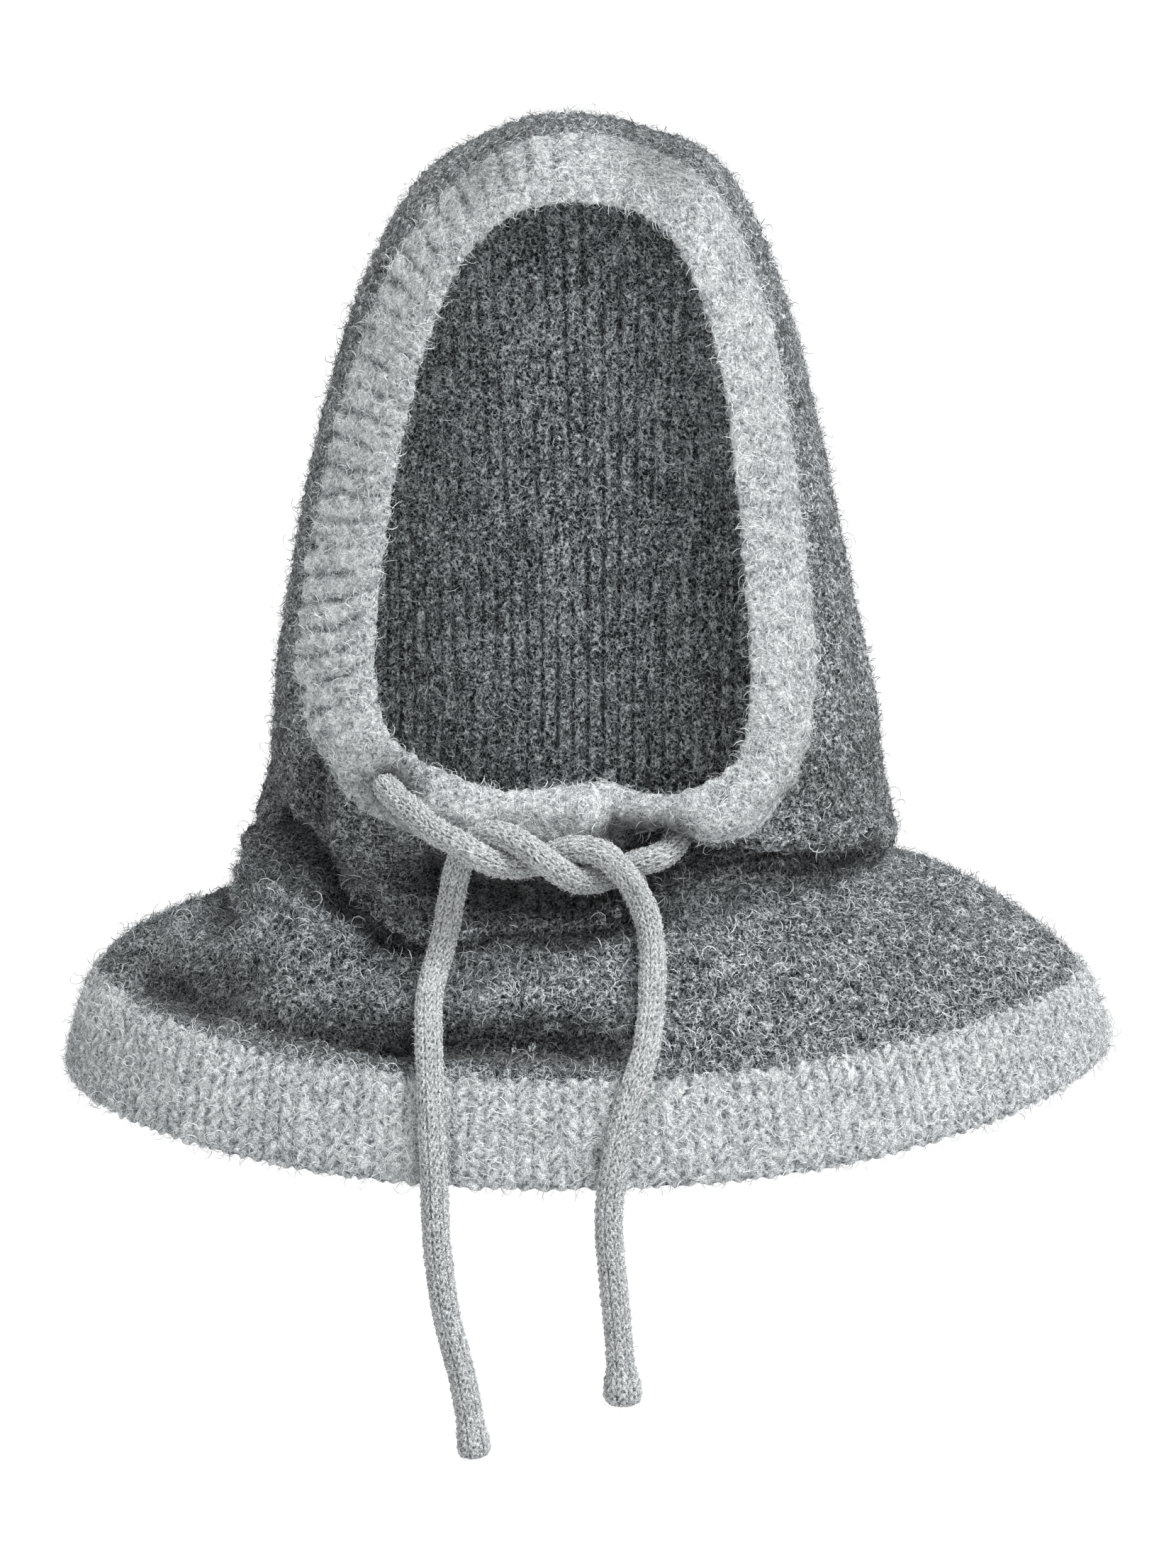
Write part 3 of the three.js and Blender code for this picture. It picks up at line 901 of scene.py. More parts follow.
class GarmentForm:
    """The garment's outer face: u runs once around, s is the distance along the knit."""

    SAMPLES = 480
    SEEN_GRID = (720, 500)  # how many places around and along are looked at to lay a fold
    SEEN_REACH = 1.5  # how far off its place as seen a fold's point may lie, in millimetres
    WIDE_U, WIDE_S = 0.02, 20.0  # the stretch over which the folds' directions are taken

    def __init__(self, loops: Sequence[Loop], sags: Sequence[Sag], folds: Sequence[Fold],
                 lifts: Sequence[Lift],
                 seen: Callable[[np.ndarray], tuple[np.ndarray, ...]]) -> None:
        """Spaces the loops' points, works out the slopes between them and lays the folds.

        Args:
            loops: the garment's loops, in order.
            sags: the places that hang.
            folds: the folds, in space or as seen.
            lifts: the places of the lip that stand higher or lower.
            seen: gives where the camera sees places: across, up and how far behind.
        """
        self.names = [loop.name for loop in loops]
        self.sags, self.lifts = sags, lifts
        self.grid = np.stack([loop.points(self.SAMPLES) for loop in loops])
        self.station = distances(self.grid)
        self.slopes = self._slopes()
        self.folds = self._lay(folds, seen)

    def at(self, name: str) -> float:
        """The distance along the knit at a named loop."""
        return float(self.station[self.names.index(name)])

    def _slopes(self) -> np.ndarray:
        """Works out slopes at each loop, kept monotone so that nothing overshoots.

        Returns:
            An array as the grid.
        """
        spans = np.diff(self.station)[:, None, None]
        rises = np.diff(self.grid, axis=0) / spans
        slopes = np.zeros_like(self.grid)
        slopes[0], slopes[-1] = rises[0], rises[-1]
        before, after = rises[:-1], rises[1:]
        near, far = spans[:-1], spans[1:]
        first, second = 2 * far + near, far + 2 * near
        with np.errstate(divide="ignore", invalid="ignore"):
            inner = (first + second) / (first / before + second / after)
        slopes[1:-1] = np.where(before * after > 0, inner, 0.0)
        return slopes

    def plain(self, around: np.ndarray, along: np.ndarray) -> np.ndarray:
        """The face before folds, on a grid.

        Args:
            around: the places around, each u.
            along: the distances along, each s.

        Returns:
            An array of len(along) by len(around) by 3, in millimetres.
        """
        row = np.clip(np.searchsorted(self.station, along) - 1, 0, len(self.station) - 2)
        span = (self.station[row + 1] - self.station[row])[:, None, None]
        t = (along[:, None, None] - self.station[row][:, None, None]) / span
        columns = self.grid[row] * ((1 + 2 * t) * (1 - t) ** 2)
        columns = columns + self.slopes[row] * (t * (1 - t) ** 2 * span)
        columns = columns + self.grid[row + 1] * (t * t * (3 - 2 * t))
        columns = columns + self.slopes[row + 1] * (t * t * (t - 1) * span)
        place = np.mod(around, 1.0) * self.SAMPLES
        low = np.floor(place).astype(int) % self.SAMPLES
        share = (place - np.floor(place))[None, :, None]
        points = columns[:, low] * (1 - share) + columns[:, (low + 1) % self.SAMPLES] * share
        points[..., 2] -= self._drop(points) * self._sag_weight(along)[:, None]
        edge = 1 - smoothstep(self.at("face_edge"), self.at("band_seam"), along)
        points[..., 2] += sum(lift.rise(points) for lift in self.lifts) * edge[:, None]
        return points

    def _lay(self, folds: Sequence[Fold],
             seen: Callable[[np.ndarray], tuple[np.ndarray, ...]]) -> list[Fold]:
        """Puts each fold that is drawn as seen on the nearest face that the camera sees.

        Args:
            folds: the folds, in space or as seen.
            seen: gives where the camera sees places.

        Returns:
            The folds, all in space.
        """
        around, along = self.SEEN_GRID
        face = self.plain(np.arange(around) / around, np.linspace(0, self.station[-1], along))
        face = face.reshape(-1, 3)
        across, up, behind = seen(face)
        laid = []
        for fold in folds:
            if len(fold.along[0]) == 2:
                places = []
                for x, y in fold.along:
                    away = np.hypot(across - x, up - y)
                    close = np.flatnonzero(away < away.min() + self.SEEN_REACH)
                    places.append(tuple(face[close[np.argmin(behind[close])]]))
                fold = replace(fold, along=tuple(places))
            laid.append(fold)
        return laid

    def _drop(self, points: np.ndarray) -> np.ndarray:
        """Works out how far the sags lower points where they are at their full weight.

        Args:
            points: the points.

        Returns:
            The drop of each.
        """
        total = np.zeros(points.shape[:-1])
        for sag in self.sags:
            away = (points[..., 0] - sag.x) ** 2 + (points[..., 1] - sag.y) ** 2
            total += sag.drop * np.exp(-away / sag.reach**2)
        return total

    def _sag_weight(self, along: np.ndarray) -> np.ndarray:
        """Grows from the band's seam to the crease, and fades towards the hem's seam.

        Args:
            along: the distances along.

        Returns:
            The sags' weight at each, from 0 to 1.
        """
        seam, crease = self.at("band_seam"), self.at("neck_crease")
        hem = self.at("hem_seam")
        share = np.where(along < crease, (along - seam) / (crease - seam),
                         (hem - along) / (hem - crease))
        return smoothstep(0, 1, share)

    def face(self, around: np.ndarray, along: np.ndarray) -> np.ndarray:
        """The outer face with its folds.

        The folds move it along directions that are taken over a wide stretch, so that they
        run side by side also where the face is creased.

        Args:
            around: the places around, each u.
            along: the distances along, each s.

        Returns:
            An array as plain gives it.
        """
        points = self.plain(around, along)
        way = self.normal(self.plain, around, along, self.WIDE_U, self.WIDE_S)
        return points + way * self.rise(points)[..., None]

    def rise(self, points: np.ndarray) -> np.ndarray:
        """How far the folds together lift points of the plain face."""
        return sum(fold.rise(points) for fold in self.folds)

    def normal(self, surface: Callable[[np.ndarray, np.ndarray], np.ndarray],
               around: np.ndarray, along: np.ndarray, step_u: float = 0.004,
               step_s: float = 2.0) -> np.ndarray:
        """Outward normals of a surface on a grid.

        Args:
            surface: plain or face.
            around: the places around.
            along: the distances along.
            step_u: how far around to look each way, as a share of the turn.
            step_s: how far along to look each way.

        Returns:
            Unit vectors, in an array as plain gives it.
        """
        low = np.maximum(along - step_s, 0.0)
        high = np.minimum(along + step_s, self.station[-1])
        across = surface(around + step_u, along) - surface(around - step_u, along)
        down = surface(around, high) - surface(around, low)
        return unit(np.cross(across, down))


@dataclass
class Skin:
    """A closed grid of points with what the knit needs at each, in each row or in all."""

    points: np.ndarray
    wale: np.ndarray
    course: np.ndarray
    loft: np.ndarray
    rib: np.ndarray | float
    nap: np.ndarray | float
    comb: np.ndarray | float
    shade: np.ndarray | float
    closed_along: bool = True

    def mesh(self, name: str) -> bpy.types.Object:
        """Makes the mesh, its UV map of wales and courses, and its attributes.

        Args:
            name: the new object's name.

        Returns:
            An object at the origin that isn't shown until a recipe bakes it.
        """
        rows, around = self.points.shape[:2]
        faces, corner_row, corner_col = self._quads(rows, around)
        faces = faces.tolist()
        vertices = self.points.reshape(-1, 3) * MM
        if not self.closed_along:
            fans = self._fans(rows, around)
            vertices = np.concatenate([vertices, [vertices[:around].mean(axis=0),
                                                  vertices[-around:].mean(axis=0)]])
            faces += fans[0].tolist()
            corner_row = np.concatenate([corner_row, fans[1].ravel()])
            corner_col = np.concatenate([corner_col, fans[2].ravel()])
        mesh = bpy.data.meshes.new(name)
        mesh.from_pydata(vertices.tolist(), [], faces)
        last = rows + 1 if self.closed_along else rows + 2
        wale = self.wale[1] - self.wale[0]
        course = np.concatenate([self.course, self.course[-1:] + 0.5, [-0.5]])
        maps = {"knit": (corner_col * wale, course[corner_row]),
                "OFBake": (corner_col / around, (corner_row + 1) % (rows + 2) / last)}
        for key, places in maps.items():
            write(mesh.uv_layers.new(name=key).data, "uv", np.stack(places, axis=1))
        mesh.polygons.foreach_set("use_smooth", [True] * len(mesh.polygons))
        spare = len(vertices) - rows * around
        for key in ("wale", "course", "loft", "rib", "nap", "shade"):
            values = self.course[:, None] if key == "course" else getattr(self, key)
            values = np.broadcast_to(values, (rows, around)).ravel()
            made = mesh.attributes.new(key, "FLOAT", "POINT")
            write(made.data, "value", np.concatenate([values, np.full(spare, values[-1])]))
        made = mesh.attributes.new("comb", "FLOAT_VECTOR", "POINT")
        comb = np.broadcast_to(self.comb, self.points.shape).reshape(-1, 3)
        write(made.data, "vector", np.concatenate([comb, np.zeros((spare, 3))]))
        mesh.update()
        return put(name, mesh)

    def _quads(self, rows: int, around: int) -> tuple[np.ndarray, np.ndarray, np.ndarray]:
        """Joins the grid's points by faces.

        Args:
            rows: how many rows of points there are.
            around: how many points each row has.

        Returns:
            The faces' points, and each corner's row and column in the UV map.
        """
        last = rows if self.closed_along else rows - 1
        j, i = np.meshgrid(np.arange(last), np.arange(around), indexing="ij")
        below, right = (j + 1) % rows, (i + 1) % around
        quads = np.stack([j * around + i, j * around + right,
                          below * around + right, below * around + i], axis=-1)
        corner_row = np.stack([j, j, j + 1, j + 1], axis=-1)
        corner_col = np.stack([i, i + 1, i + 1, i], axis=-1)
        return quads.reshape(-1, 4), corner_row.ravel(), corner_col.ravel()

    @staticmethod
    def _fans(rows: int, around: int) -> tuple[np.ndarray, np.ndarray, np.ndarray]:
        """Closes both ends with a fan around a middle point.

        Args:
            rows: how many rows of points there are.
            around: how many points each row has.

        Returns:
            Faces, rows and columns, as _quads gives them.
        """
        i = np.arange(around)
        right, end = (i + 1) % around, (rows - 1) * around
        top, bottom = np.full(around, rows * around), np.full(around, rows * around + 1)
        faces = np.concatenate([np.stack([top, right, i], 1),
                                np.stack([bottom, end + i, end + right], 1)])
        first, low = np.zeros(around, int), np.full(around, rows - 1)
        row = np.concatenate([np.stack([first - 1, first, first], 1),
                              np.stack([low + 1, low, low], 1)])
        col = np.concatenate([np.stack([i + 0.5, i + 1, i], 1),
                              np.stack([i + 0.5, i, i + 1], 1)])
        return faces, row, col


# Pieces


@dataclass
class Knit:
    """What a knitted piece shares: its node, its finish, its stitches and its nap."""

    name: str
    node: str
    finish: BrushedWool
    around: int
    wales: int
    course_pitch: float
    relief: dict[str, float]
    naps: dict[Strand, dict[str, float]]
    seed: int

    def build(self, skin: Skin, workroom: Workroom) -> list[bpy.types.Object]:
        """Bakes the skin with its relief, then the fibres on it.

        Args:
            skin: the piece's closed grid.
            workroom: the recipes.

        Returns:
            The skin's object, then the fibres' objects.
        """
        base = skin.mesh(f"{self.name}_base")
        knitted = workroom.relief.bake(base, self.name, self.finish.material(),
                                       self.seed, **self.relief)
        bpy.data.objects.remove(base)
        made = [knitted]
        area = self._nap_area(knitted)
        for k, (kind, nap) in enumerate(self.naps.items()):
            recipe, values = workroom.naps[kind], dict(nap)
            values["density"] = values.pop("count") / area
            fibres = recipe.bake(knitted, f"{self.name}_{recipe.name}",
                                 self.finish.nap_material(),
                                 self.seed + 100 * (k + 1), **values)
            recipe.spread_map(fibres)
            made.append(fibres)
        for piece in made:
            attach(piece, "root")
        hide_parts(self.node)
        return made

    @staticmethod
    def _nap_area(piece: bpy.types.Object) -> float:
        """Measures the area that carries nap, each face by its share.

        Args:
            piece: the baked skin.

        Returns:
            The area in square metres.
        """
        mesh = piece.data
        share = read(mesh.attributes["nap"].data, "value")
        starts = read(mesh.polygons, "loop_start", np.int32)
        corners = read(mesh.loops, "vertex_index", np.int32)
        return float((read(mesh.polygons, "area") * share[corners[starts]]).sum())


@dataclass
class GarmentPiece(Knit):
    """A stretch of the garment's tube, carried around as a closed section."""

    start: str = "band_seam"
    end: str = "neck_crease"
    thick: float = 4.2
    rows: int = 96
    inner_rows: int = 48
    inner_nap: float = 0.5
    back_nap: float = 0.45
    # Painted light inside; painted shade for each millimetre of fold and light over ridges; painted
    # shade low outside.
    inner_shade: float = 1.3
    fold_shade: float = 0.07
    low_shade: float = 0.0
    outer_rib: float = 0.4
    inner_rib: float = 0.2
    calm: float = 1.0
    TUCK = 0.8  # how far the piece runs on under its neighbours, in millimetres
    CALM_REACH = (0.5, 4.5)  # how far from its ends the relief is calm
    END_NAP = 0.7  # how much more fibre the ends carry
    BACK = (0, 40)  # from where to where, in y, the nap thins towards the back
    FOLD_NAP, LEAST_NAP = 0.06, 0.35
    PAINTED_FOLD_LIMITS = (0.28, 1.14)  # the least and the most by which a fold's painted shade and light multiply the colour
    LOW, INNER_LOW = (-195, -245), 0.2  # the hood's lowest stretch, in z, and the painted shade inside it there
    # Painted light down the middle of the inner back: its x, its reach, its z and its gain.
    MIDDLE_X, MIDDLE_REACH, MIDDLE_Z, MIDDLE_GAIN = -8, 34, (-20, -80), 0.65
    OUTER_COMB, INNER_COMB = 0.25, 0.8  # how straight the fibres are combed across

    def section(self, form: GarmentForm) -> tuple[np.ndarray, np.ndarray, np.ndarray]:
        """Lays out the section: a plain wall between two loops.

        Args:
            form: the garment's form.

        Returns:
            Each row's distance along, its height off the face, and whether it is outside.
        """
        low, high = form.at(self.start) - self.TUCK, form.at(self.end) + self.TUCK
        along = np.concatenate([np.linspace(low, high, self.rows),
                                np.linspace(high, low, self.inner_rows)])
        outside = np.arange(len(along)) < self.rows
        return along, np.where(outside, 0.0, -self.thick), outside

    def rib_share(self, points: np.ndarray, outside: np.ndarray,
                  share: np.ndarray) -> np.ndarray:
        """How strongly ribs show in each row, which lies that share of the way along."""
        return np.where(outside, self.outer_rib, self.inner_rib)[:, None]

    def nap_share(self, points: np.ndarray, outside: np.ndarray,
                  rise: np.ndarray) -> np.ndarray:
        """Works out how densely fibres stand: the back and the folds carry fewer.

        Args:
            points: the piece's points.
            outside: whether each row is on the outer side.
            rise: how far the folds lift each point.

        Returns:
            The share of the full nap at each point.
        """
        back = smoothstep(*self.BACK, points[..., 1])
        outer = (1 + (self.back_nap - 1) * back) * np.clip(
            1 + self.FOLD_NAP * rise, self.LEAST_NAP, 1)
        return np.where(outside[:, None], outer, self.inner_nap)

    def shade(self, points: np.ndarray, outside: np.ndarray, rise: np.ndarray) -> np.ndarray:
        """Works out the painted light and shade that multiply the finish's colour.

        Painted shade darkens folds and the hood's lowest stretch outside, and painted light
        brightens ridges. Inside, painted light brightens the wool, most down the middle of the
        back, with painted shade low down.

        Args:
            points: the piece's points.
            outside: whether each row is on the outer side.
            rise: how far the folds lift each point.

        Returns:
            The share by which the finish's colour is multiplied.
        """
        low = smoothstep(*self.LOW, points[..., 2])
        outer = np.clip(1 + self.fold_shade * rise, *self.PAINTED_FOLD_LIMITS) * (1 - self.low_shade * low)
        middle = np.exp(-((points[..., 0] - self.MIDDLE_X) / self.MIDDLE_REACH) ** 2)
        middle = middle * smoothstep(*self.MIDDLE_Z, points[..., 2])
        inner = self.inner_shade * (1 + self.MIDDLE_GAIN * middle) * (1 - self.INNER_LOW * low)
        return np.where(outside[:, None], outer, inner)

    def flat(self, form: GarmentForm) -> tuple[float, float]:
        """Measures the piece as it is laid flat.

        Args:
            form: the garment's form.

        Returns:
            Its width and its length, in metres.
        """
        loops = form.grid[form.names.index(self.start):form.names.index(self.end) + 1]
        around = np.linalg.norm(loops - np.roll(loops, 1, axis=1), axis=2).sum(axis=1)
        return float(around.mean() * MM), float((form.at(self.end) - form.at(self.start)) * MM)

    def skin(self, form: GarmentForm) -> Skin:
        """Carries the section around the garment.

        Args:
            form: the garment's form.

        Returns:
            The piece's closed grid.
        """
        along, off, outside = self.section(form)
        along = np.clip(along, 0.0, form.station[-1])
        around = np.arange(self.around) / self.around
        face = form.face(around, along)
        across = unit(np.roll(face, -1, axis=1) - np.roll(face, 1, axis=1))
        points = face + form.normal(form.face, around, along) * off[:, None, None]
        points[..., 2] += CROWN_LIFT
        rise = form.rise(form.plain(around, along))
        first, last = form.at(self.start), form.at(self.end)
        ends = np.minimum(np.abs(along - first), np.abs(along - last))
        loft = 1 - self.calm * (1 - smoothstep(*self.CALM_REACH, ends))
        nap = self.nap_share(points, outside, rise)
        comb = np.where(outside, self.OUTER_COMB, self.INNER_COMB)[:, None, None]
        return Skin(points, around * self.wales, distances(points) / self.course_pitch,
                    loft[:, None], self.rib_share(
                        points, outside, (along - first) / (last - first)),
                    nap * (1 + self.END_NAP - self.END_NAP * loft)[:, None], across * comb,
                    self.shade(points, outside, rise))


@dataclass
class Band(GarmentPiece):
    """A thick band, round at its free edge."""

    proud: float = 1.6
    calm: float = 0.0
    free_first: bool = True
    nose: float = 3.0
    THINNEST = 0.03  # of the thickness, at the rounded edge
    SEAM_THINNING, SEAM_REACH = 0.2, (0.82, 1)

    def section(self, form: GarmentForm) -> tuple[np.ndarray, np.ndarray, np.ndarray]:
        """Lays out the section: a flat oval that narrows into the seam.

        Args:
            form: the garment's form.

        Returns:
            The rows, as a plain wall's section gives them.
        """
        start = form.at(self.start)
        length = form.at(self.end) - start
        share = (1 - np.cos(np.linspace(0, math.pi, self.rows))) / 2
        free = share if self.free_first else 1 - share
        swell = np.sqrt(np.maximum(1 - (1 - np.minimum(1, free * self.nose)) ** 2, 0))
        narrow = 1 - self.SEAM_THINNING * smoothstep(*self.SEAM_REACH, free)
        half = self.thick / 2 * np.maximum(swell, self.THINNEST) * narrow
        middle = self.proud - self.thick / 2
        along = start + length * share
        return (np.concatenate([along, along[::-1]]),
                np.concatenate([middle + half, (middle - half)[::-1]]),
                np.arange(2 * self.rows) < self.rows)


class FaceBand(Band):
    """The ribbed band around the face, drawn smooth by the drawstring on one side."""

    RIBBED_X, RIBBED_Z = (25, -35), (-238, -205)  # between which the ribs come out
    LIP, SEAM = (0.12, 0.5), (0.8, 1)  # the shares of the width over which they come and go
    FAINTEST = 0.08
    AT_LIP, SEAM_LOSS, LOW_SHARE = 0.3, 0.4, 0.1  # at the lip, into the seam and low down

    def rib_share(self, points: np.ndarray, outside: np.ndarray,
                  share: np.ndarray) -> np.ndarray:
        """Works out how ribs stand out on one side and fade under the chin and at the lip.

        Args:
            points: the piece's points.
            outside: whether each row is on the outer side.
            share: how far across the band each row lies.

        Returns:
            How strongly ribs show at each point.
        """
        side = smoothstep(*self.RIBBED_X, points[..., 0])
        high = smoothstep(*self.RIBBED_Z, points[..., 2])
        inward = self.AT_LIP + (1 - self.AT_LIP) * smoothstep(*self.LIP, share) * (
            1 - self.SEAM_LOSS * smoothstep(*self.SEAM, share))
        high = self.LOW_SHARE + (1 - self.LOW_SHARE) * high
        ribs = self.FAINTEST + (1 - self.FAINTEST) * side * high
        return ribs * inward[:, None]


@dataclass
class Drawstring(Knit):
    """A round knitted cord along a route of places, with a thicker end."""

    route: tuple[tuple[float, float, float], ...] = ()
    diameter: float = 9.6
    step: float = 0.7
    end_width: float = 10.0
    end_reach: float = 10.0
    length: float = 0.3

    FIRST_NOSE, LAST_NOSE = 0.3, 0.34  # how long the rounded ends are, of their widths
    SWELL = 0.35  # the part of the end's reach that has its full width
    THINNEST = 0.04  # of the radius, at the very ends
    FINE = 40  # how many points are drawn between two places of the route
    CALM_REACH = (0.0, 2.5)

    def line(self) -> np.ndarray:
        """Follows the middle of the cord.

        Returns:
            Evenly spaced points, in metres.
        """
        dense = centripetal(np.array(self.route, float), self.FINE)
        along = distances(dense)
        count = int(round(along[-1] / self.step)) + 1
        even = spaced(dense, along, np.linspace(0.0, along[-1], count))
        even[:, 2] += CROWN_LIFT
        return even * MM

    def skin(self) -> Skin:
        """Carries a round section along the line.

        Returns:
            The cord's grid, which is closed at both ends as its mesh is made.
        """
        line = self.line() / MM
        way = unit(np.gradient(line, axis=0))
        side = np.zeros_like(line)
        side[0] = np.cross(way[0], (0.0, 0.0, 1.0))
        for k in range(1, len(line)):
            side[k] = side[k - 1] - way[k] * (side[k - 1] @ way[k])
            side[k] /= np.linalg.norm(side[k])
        side[0] /= np.linalg.norm(side[0])
        other = np.cross(way, side)
        travelled = self.step * np.arange(len(line))
        left = travelled[-1] - travelled
        radius = self.diameter / 2 * np.ones(len(line))
        radius += (self.end_width - self.diameter) / 2 * (1 - smoothstep(
            self.end_reach * self.SWELL, self.end_reach, left))
        for gap, nose in ((left, self.end_width * self.LAST_NOSE),
                          (travelled, self.diameter * self.FIRST_NOSE)):
            share = np.clip(gap / nose, 0, 1)
            radius *= np.sqrt(np.maximum(1 - (1 - share) ** 2, self.THINNEST**2))
        turn = 2 * math.pi * np.arange(self.around) / self.around
        ring = (side[:, None] * np.cos(turn)[None, :, None]
                + other[:, None] * np.sin(turn)[None, :, None])
        points = line[:, None] + ring * radius[:, None, None]
        loft = smoothstep(*self.CALM_REACH, np.minimum(left, travelled))
        return Skin(points, self.wales * np.arange(self.around) / self.around,
                    travelled / self.course_pitch, loft[:, None], rib=0.0, nap=1.0, comb=0.0,
                    shade=1.0, closed_along=False)

    def declare(self, pieces: Sequence[bpy.types.Object]) -> None:
        """Works out the cord's line and does nothing more with it.

        Args:
            pieces: the cord, then the fibres on it; not used.
        """
        line = self.line()


def centripetal(places: np.ndarray, fine: int) -> np.ndarray:
    """Draws a smooth line through places, as the solids have it.

    Args:
        places: the places, which the line passes through.
        fine: how many points for each stretch.

    Returns:
        The points of the line.
    """
    ends = np.concatenate([[2 * places[0] - places[1]], places, [2 * places[-1] - places[-2]]])
    made = []
    for k in range(1, len(ends) - 2):
        p0, p1, p2, p3 = ends[k - 1:k + 3]
        d0, d1, d2 = (np.linalg.norm(b - a) ** 0.5 for a, b in ((p0, p1), (p1, p2), (p2, p3)))
        m1 = ((p1 - p0) / d0 - (p2 - p0) / (d0 + d1) + (p2 - p1) / d1) * d1
        m2 = ((p2 - p1) / d1 - (p3 - p1) / (d1 + d2) + (p3 - p2) / d2) * d1
        t = (np.arange(fine) / fine)[:, None]
        made.append(p1 * (2 * t**3 - 3 * t**2 + 1) + m1 * (t**3 - 2 * t**2 + t)
                    + p2 * (3 * t**2 - 2 * t**3) + m2 * (t**3 - t**2))
    return np.concatenate([*made, places[-1:]])


# Where the middle of each cord runs before the crown's lift, from the band to the cut end.
LEFT_ROUTE = (
    (-75.0, -84.0, -239.6), (-72.8, -89.8, -241.7), (-67.6, -97.6, -245.6),
    (-63.2, -100.8, -248.4), (-57.6, -104.4, -253.2), (-52.4, -108.8, -255.7),
    (-47.1, -112.8, -257.9), (-41.5, -114.8, -261.3), (-34.3, -112.6, -265.0),
    (-27.7, -108.0, -266.7), (-22.6, -105.0, -266.9), (-17.4, -103.8, -265.6),
    (-12.3, -104.6, -263.1), (-6.6, -105.8, -261.1), (0.6, -106.4, -261.2),
    (6.6, -105.4, -263.7), (11.2, -103.4, -268.5), (15.9, -101.0, -274.9),
    (19.5, -99.6, -281.9), (22.1, -101.0, -289.3), (23.4, -105.4, -297.7),
    (23.3, -115.2, -310.7), (22.5, -122.2, -321.4), (20.9, -128.0, -331.3),
    (18.3, -132.6, -339.1), (15.2, -136.6, -347.9), (12.1, -139.8, -358.5),
    (9.6, -141.6, -369.8), (8.0, -142.2, -380.9), (7.5, -142.4, -393.1),
    (9.3, -142.2, -415.1), (11.4, -141.6, -438.3), (12.5, -141.2, -453.6),
    (12.7, -141.0, -460.0),
)
RIGHT_ROUTE = (
    (34.0, -74.0, -260.2), (32.2, -80.5, -262.3), (29.8, -86.8, -264.3),
    (25.6, -91.4, -266.2), (18.8, -92.2, -268.1), (13.1, -91.4, -270.9),
    (7.4, -93.6, -272.9), (1.7, -98.4, -273.7), (-4.5, -106.2, -272.2),
    (-10.2, -113.0, -268.3), (-15.8, -115.8, -263.7), (-20.9, -115.0, -259.9),
    (-26.6, -112.6, -256.9), (-31.8, -110.0, -255.0), (-36.9, -107.4, -255.4),
    (-41.4, -104.8, -258.6), (-44.8, -102.0, -263.0), (-47.2, -99.4, -268.3),
    (-48.8, -97.2, -274.7), (-50.1, -96.4, -281.9), (-51.4, -97.4, -289.6),
    (-53.7, -101.2, -299.5), (-56.7, -109.0, -308.9), (-58.0, -118.0, -318.8),
    (-57.6, -125.0, -329.0), (-57.2, -130.8, -338.1), (-56.9, -135.0, -348.2),
    (-56.4, -138.4, -360.0), (-55.6, -140.4, -375.0), (-55.1, -141.0, -389.5),
    (-54.1, -141.0, -405.1), (-51.1, -141.0, -426.9), (-45.3, -140.6, -450.3),
    (-41.8, -140.4, -472.2), (-40.8, -140.4, -479.6),
)


# The room


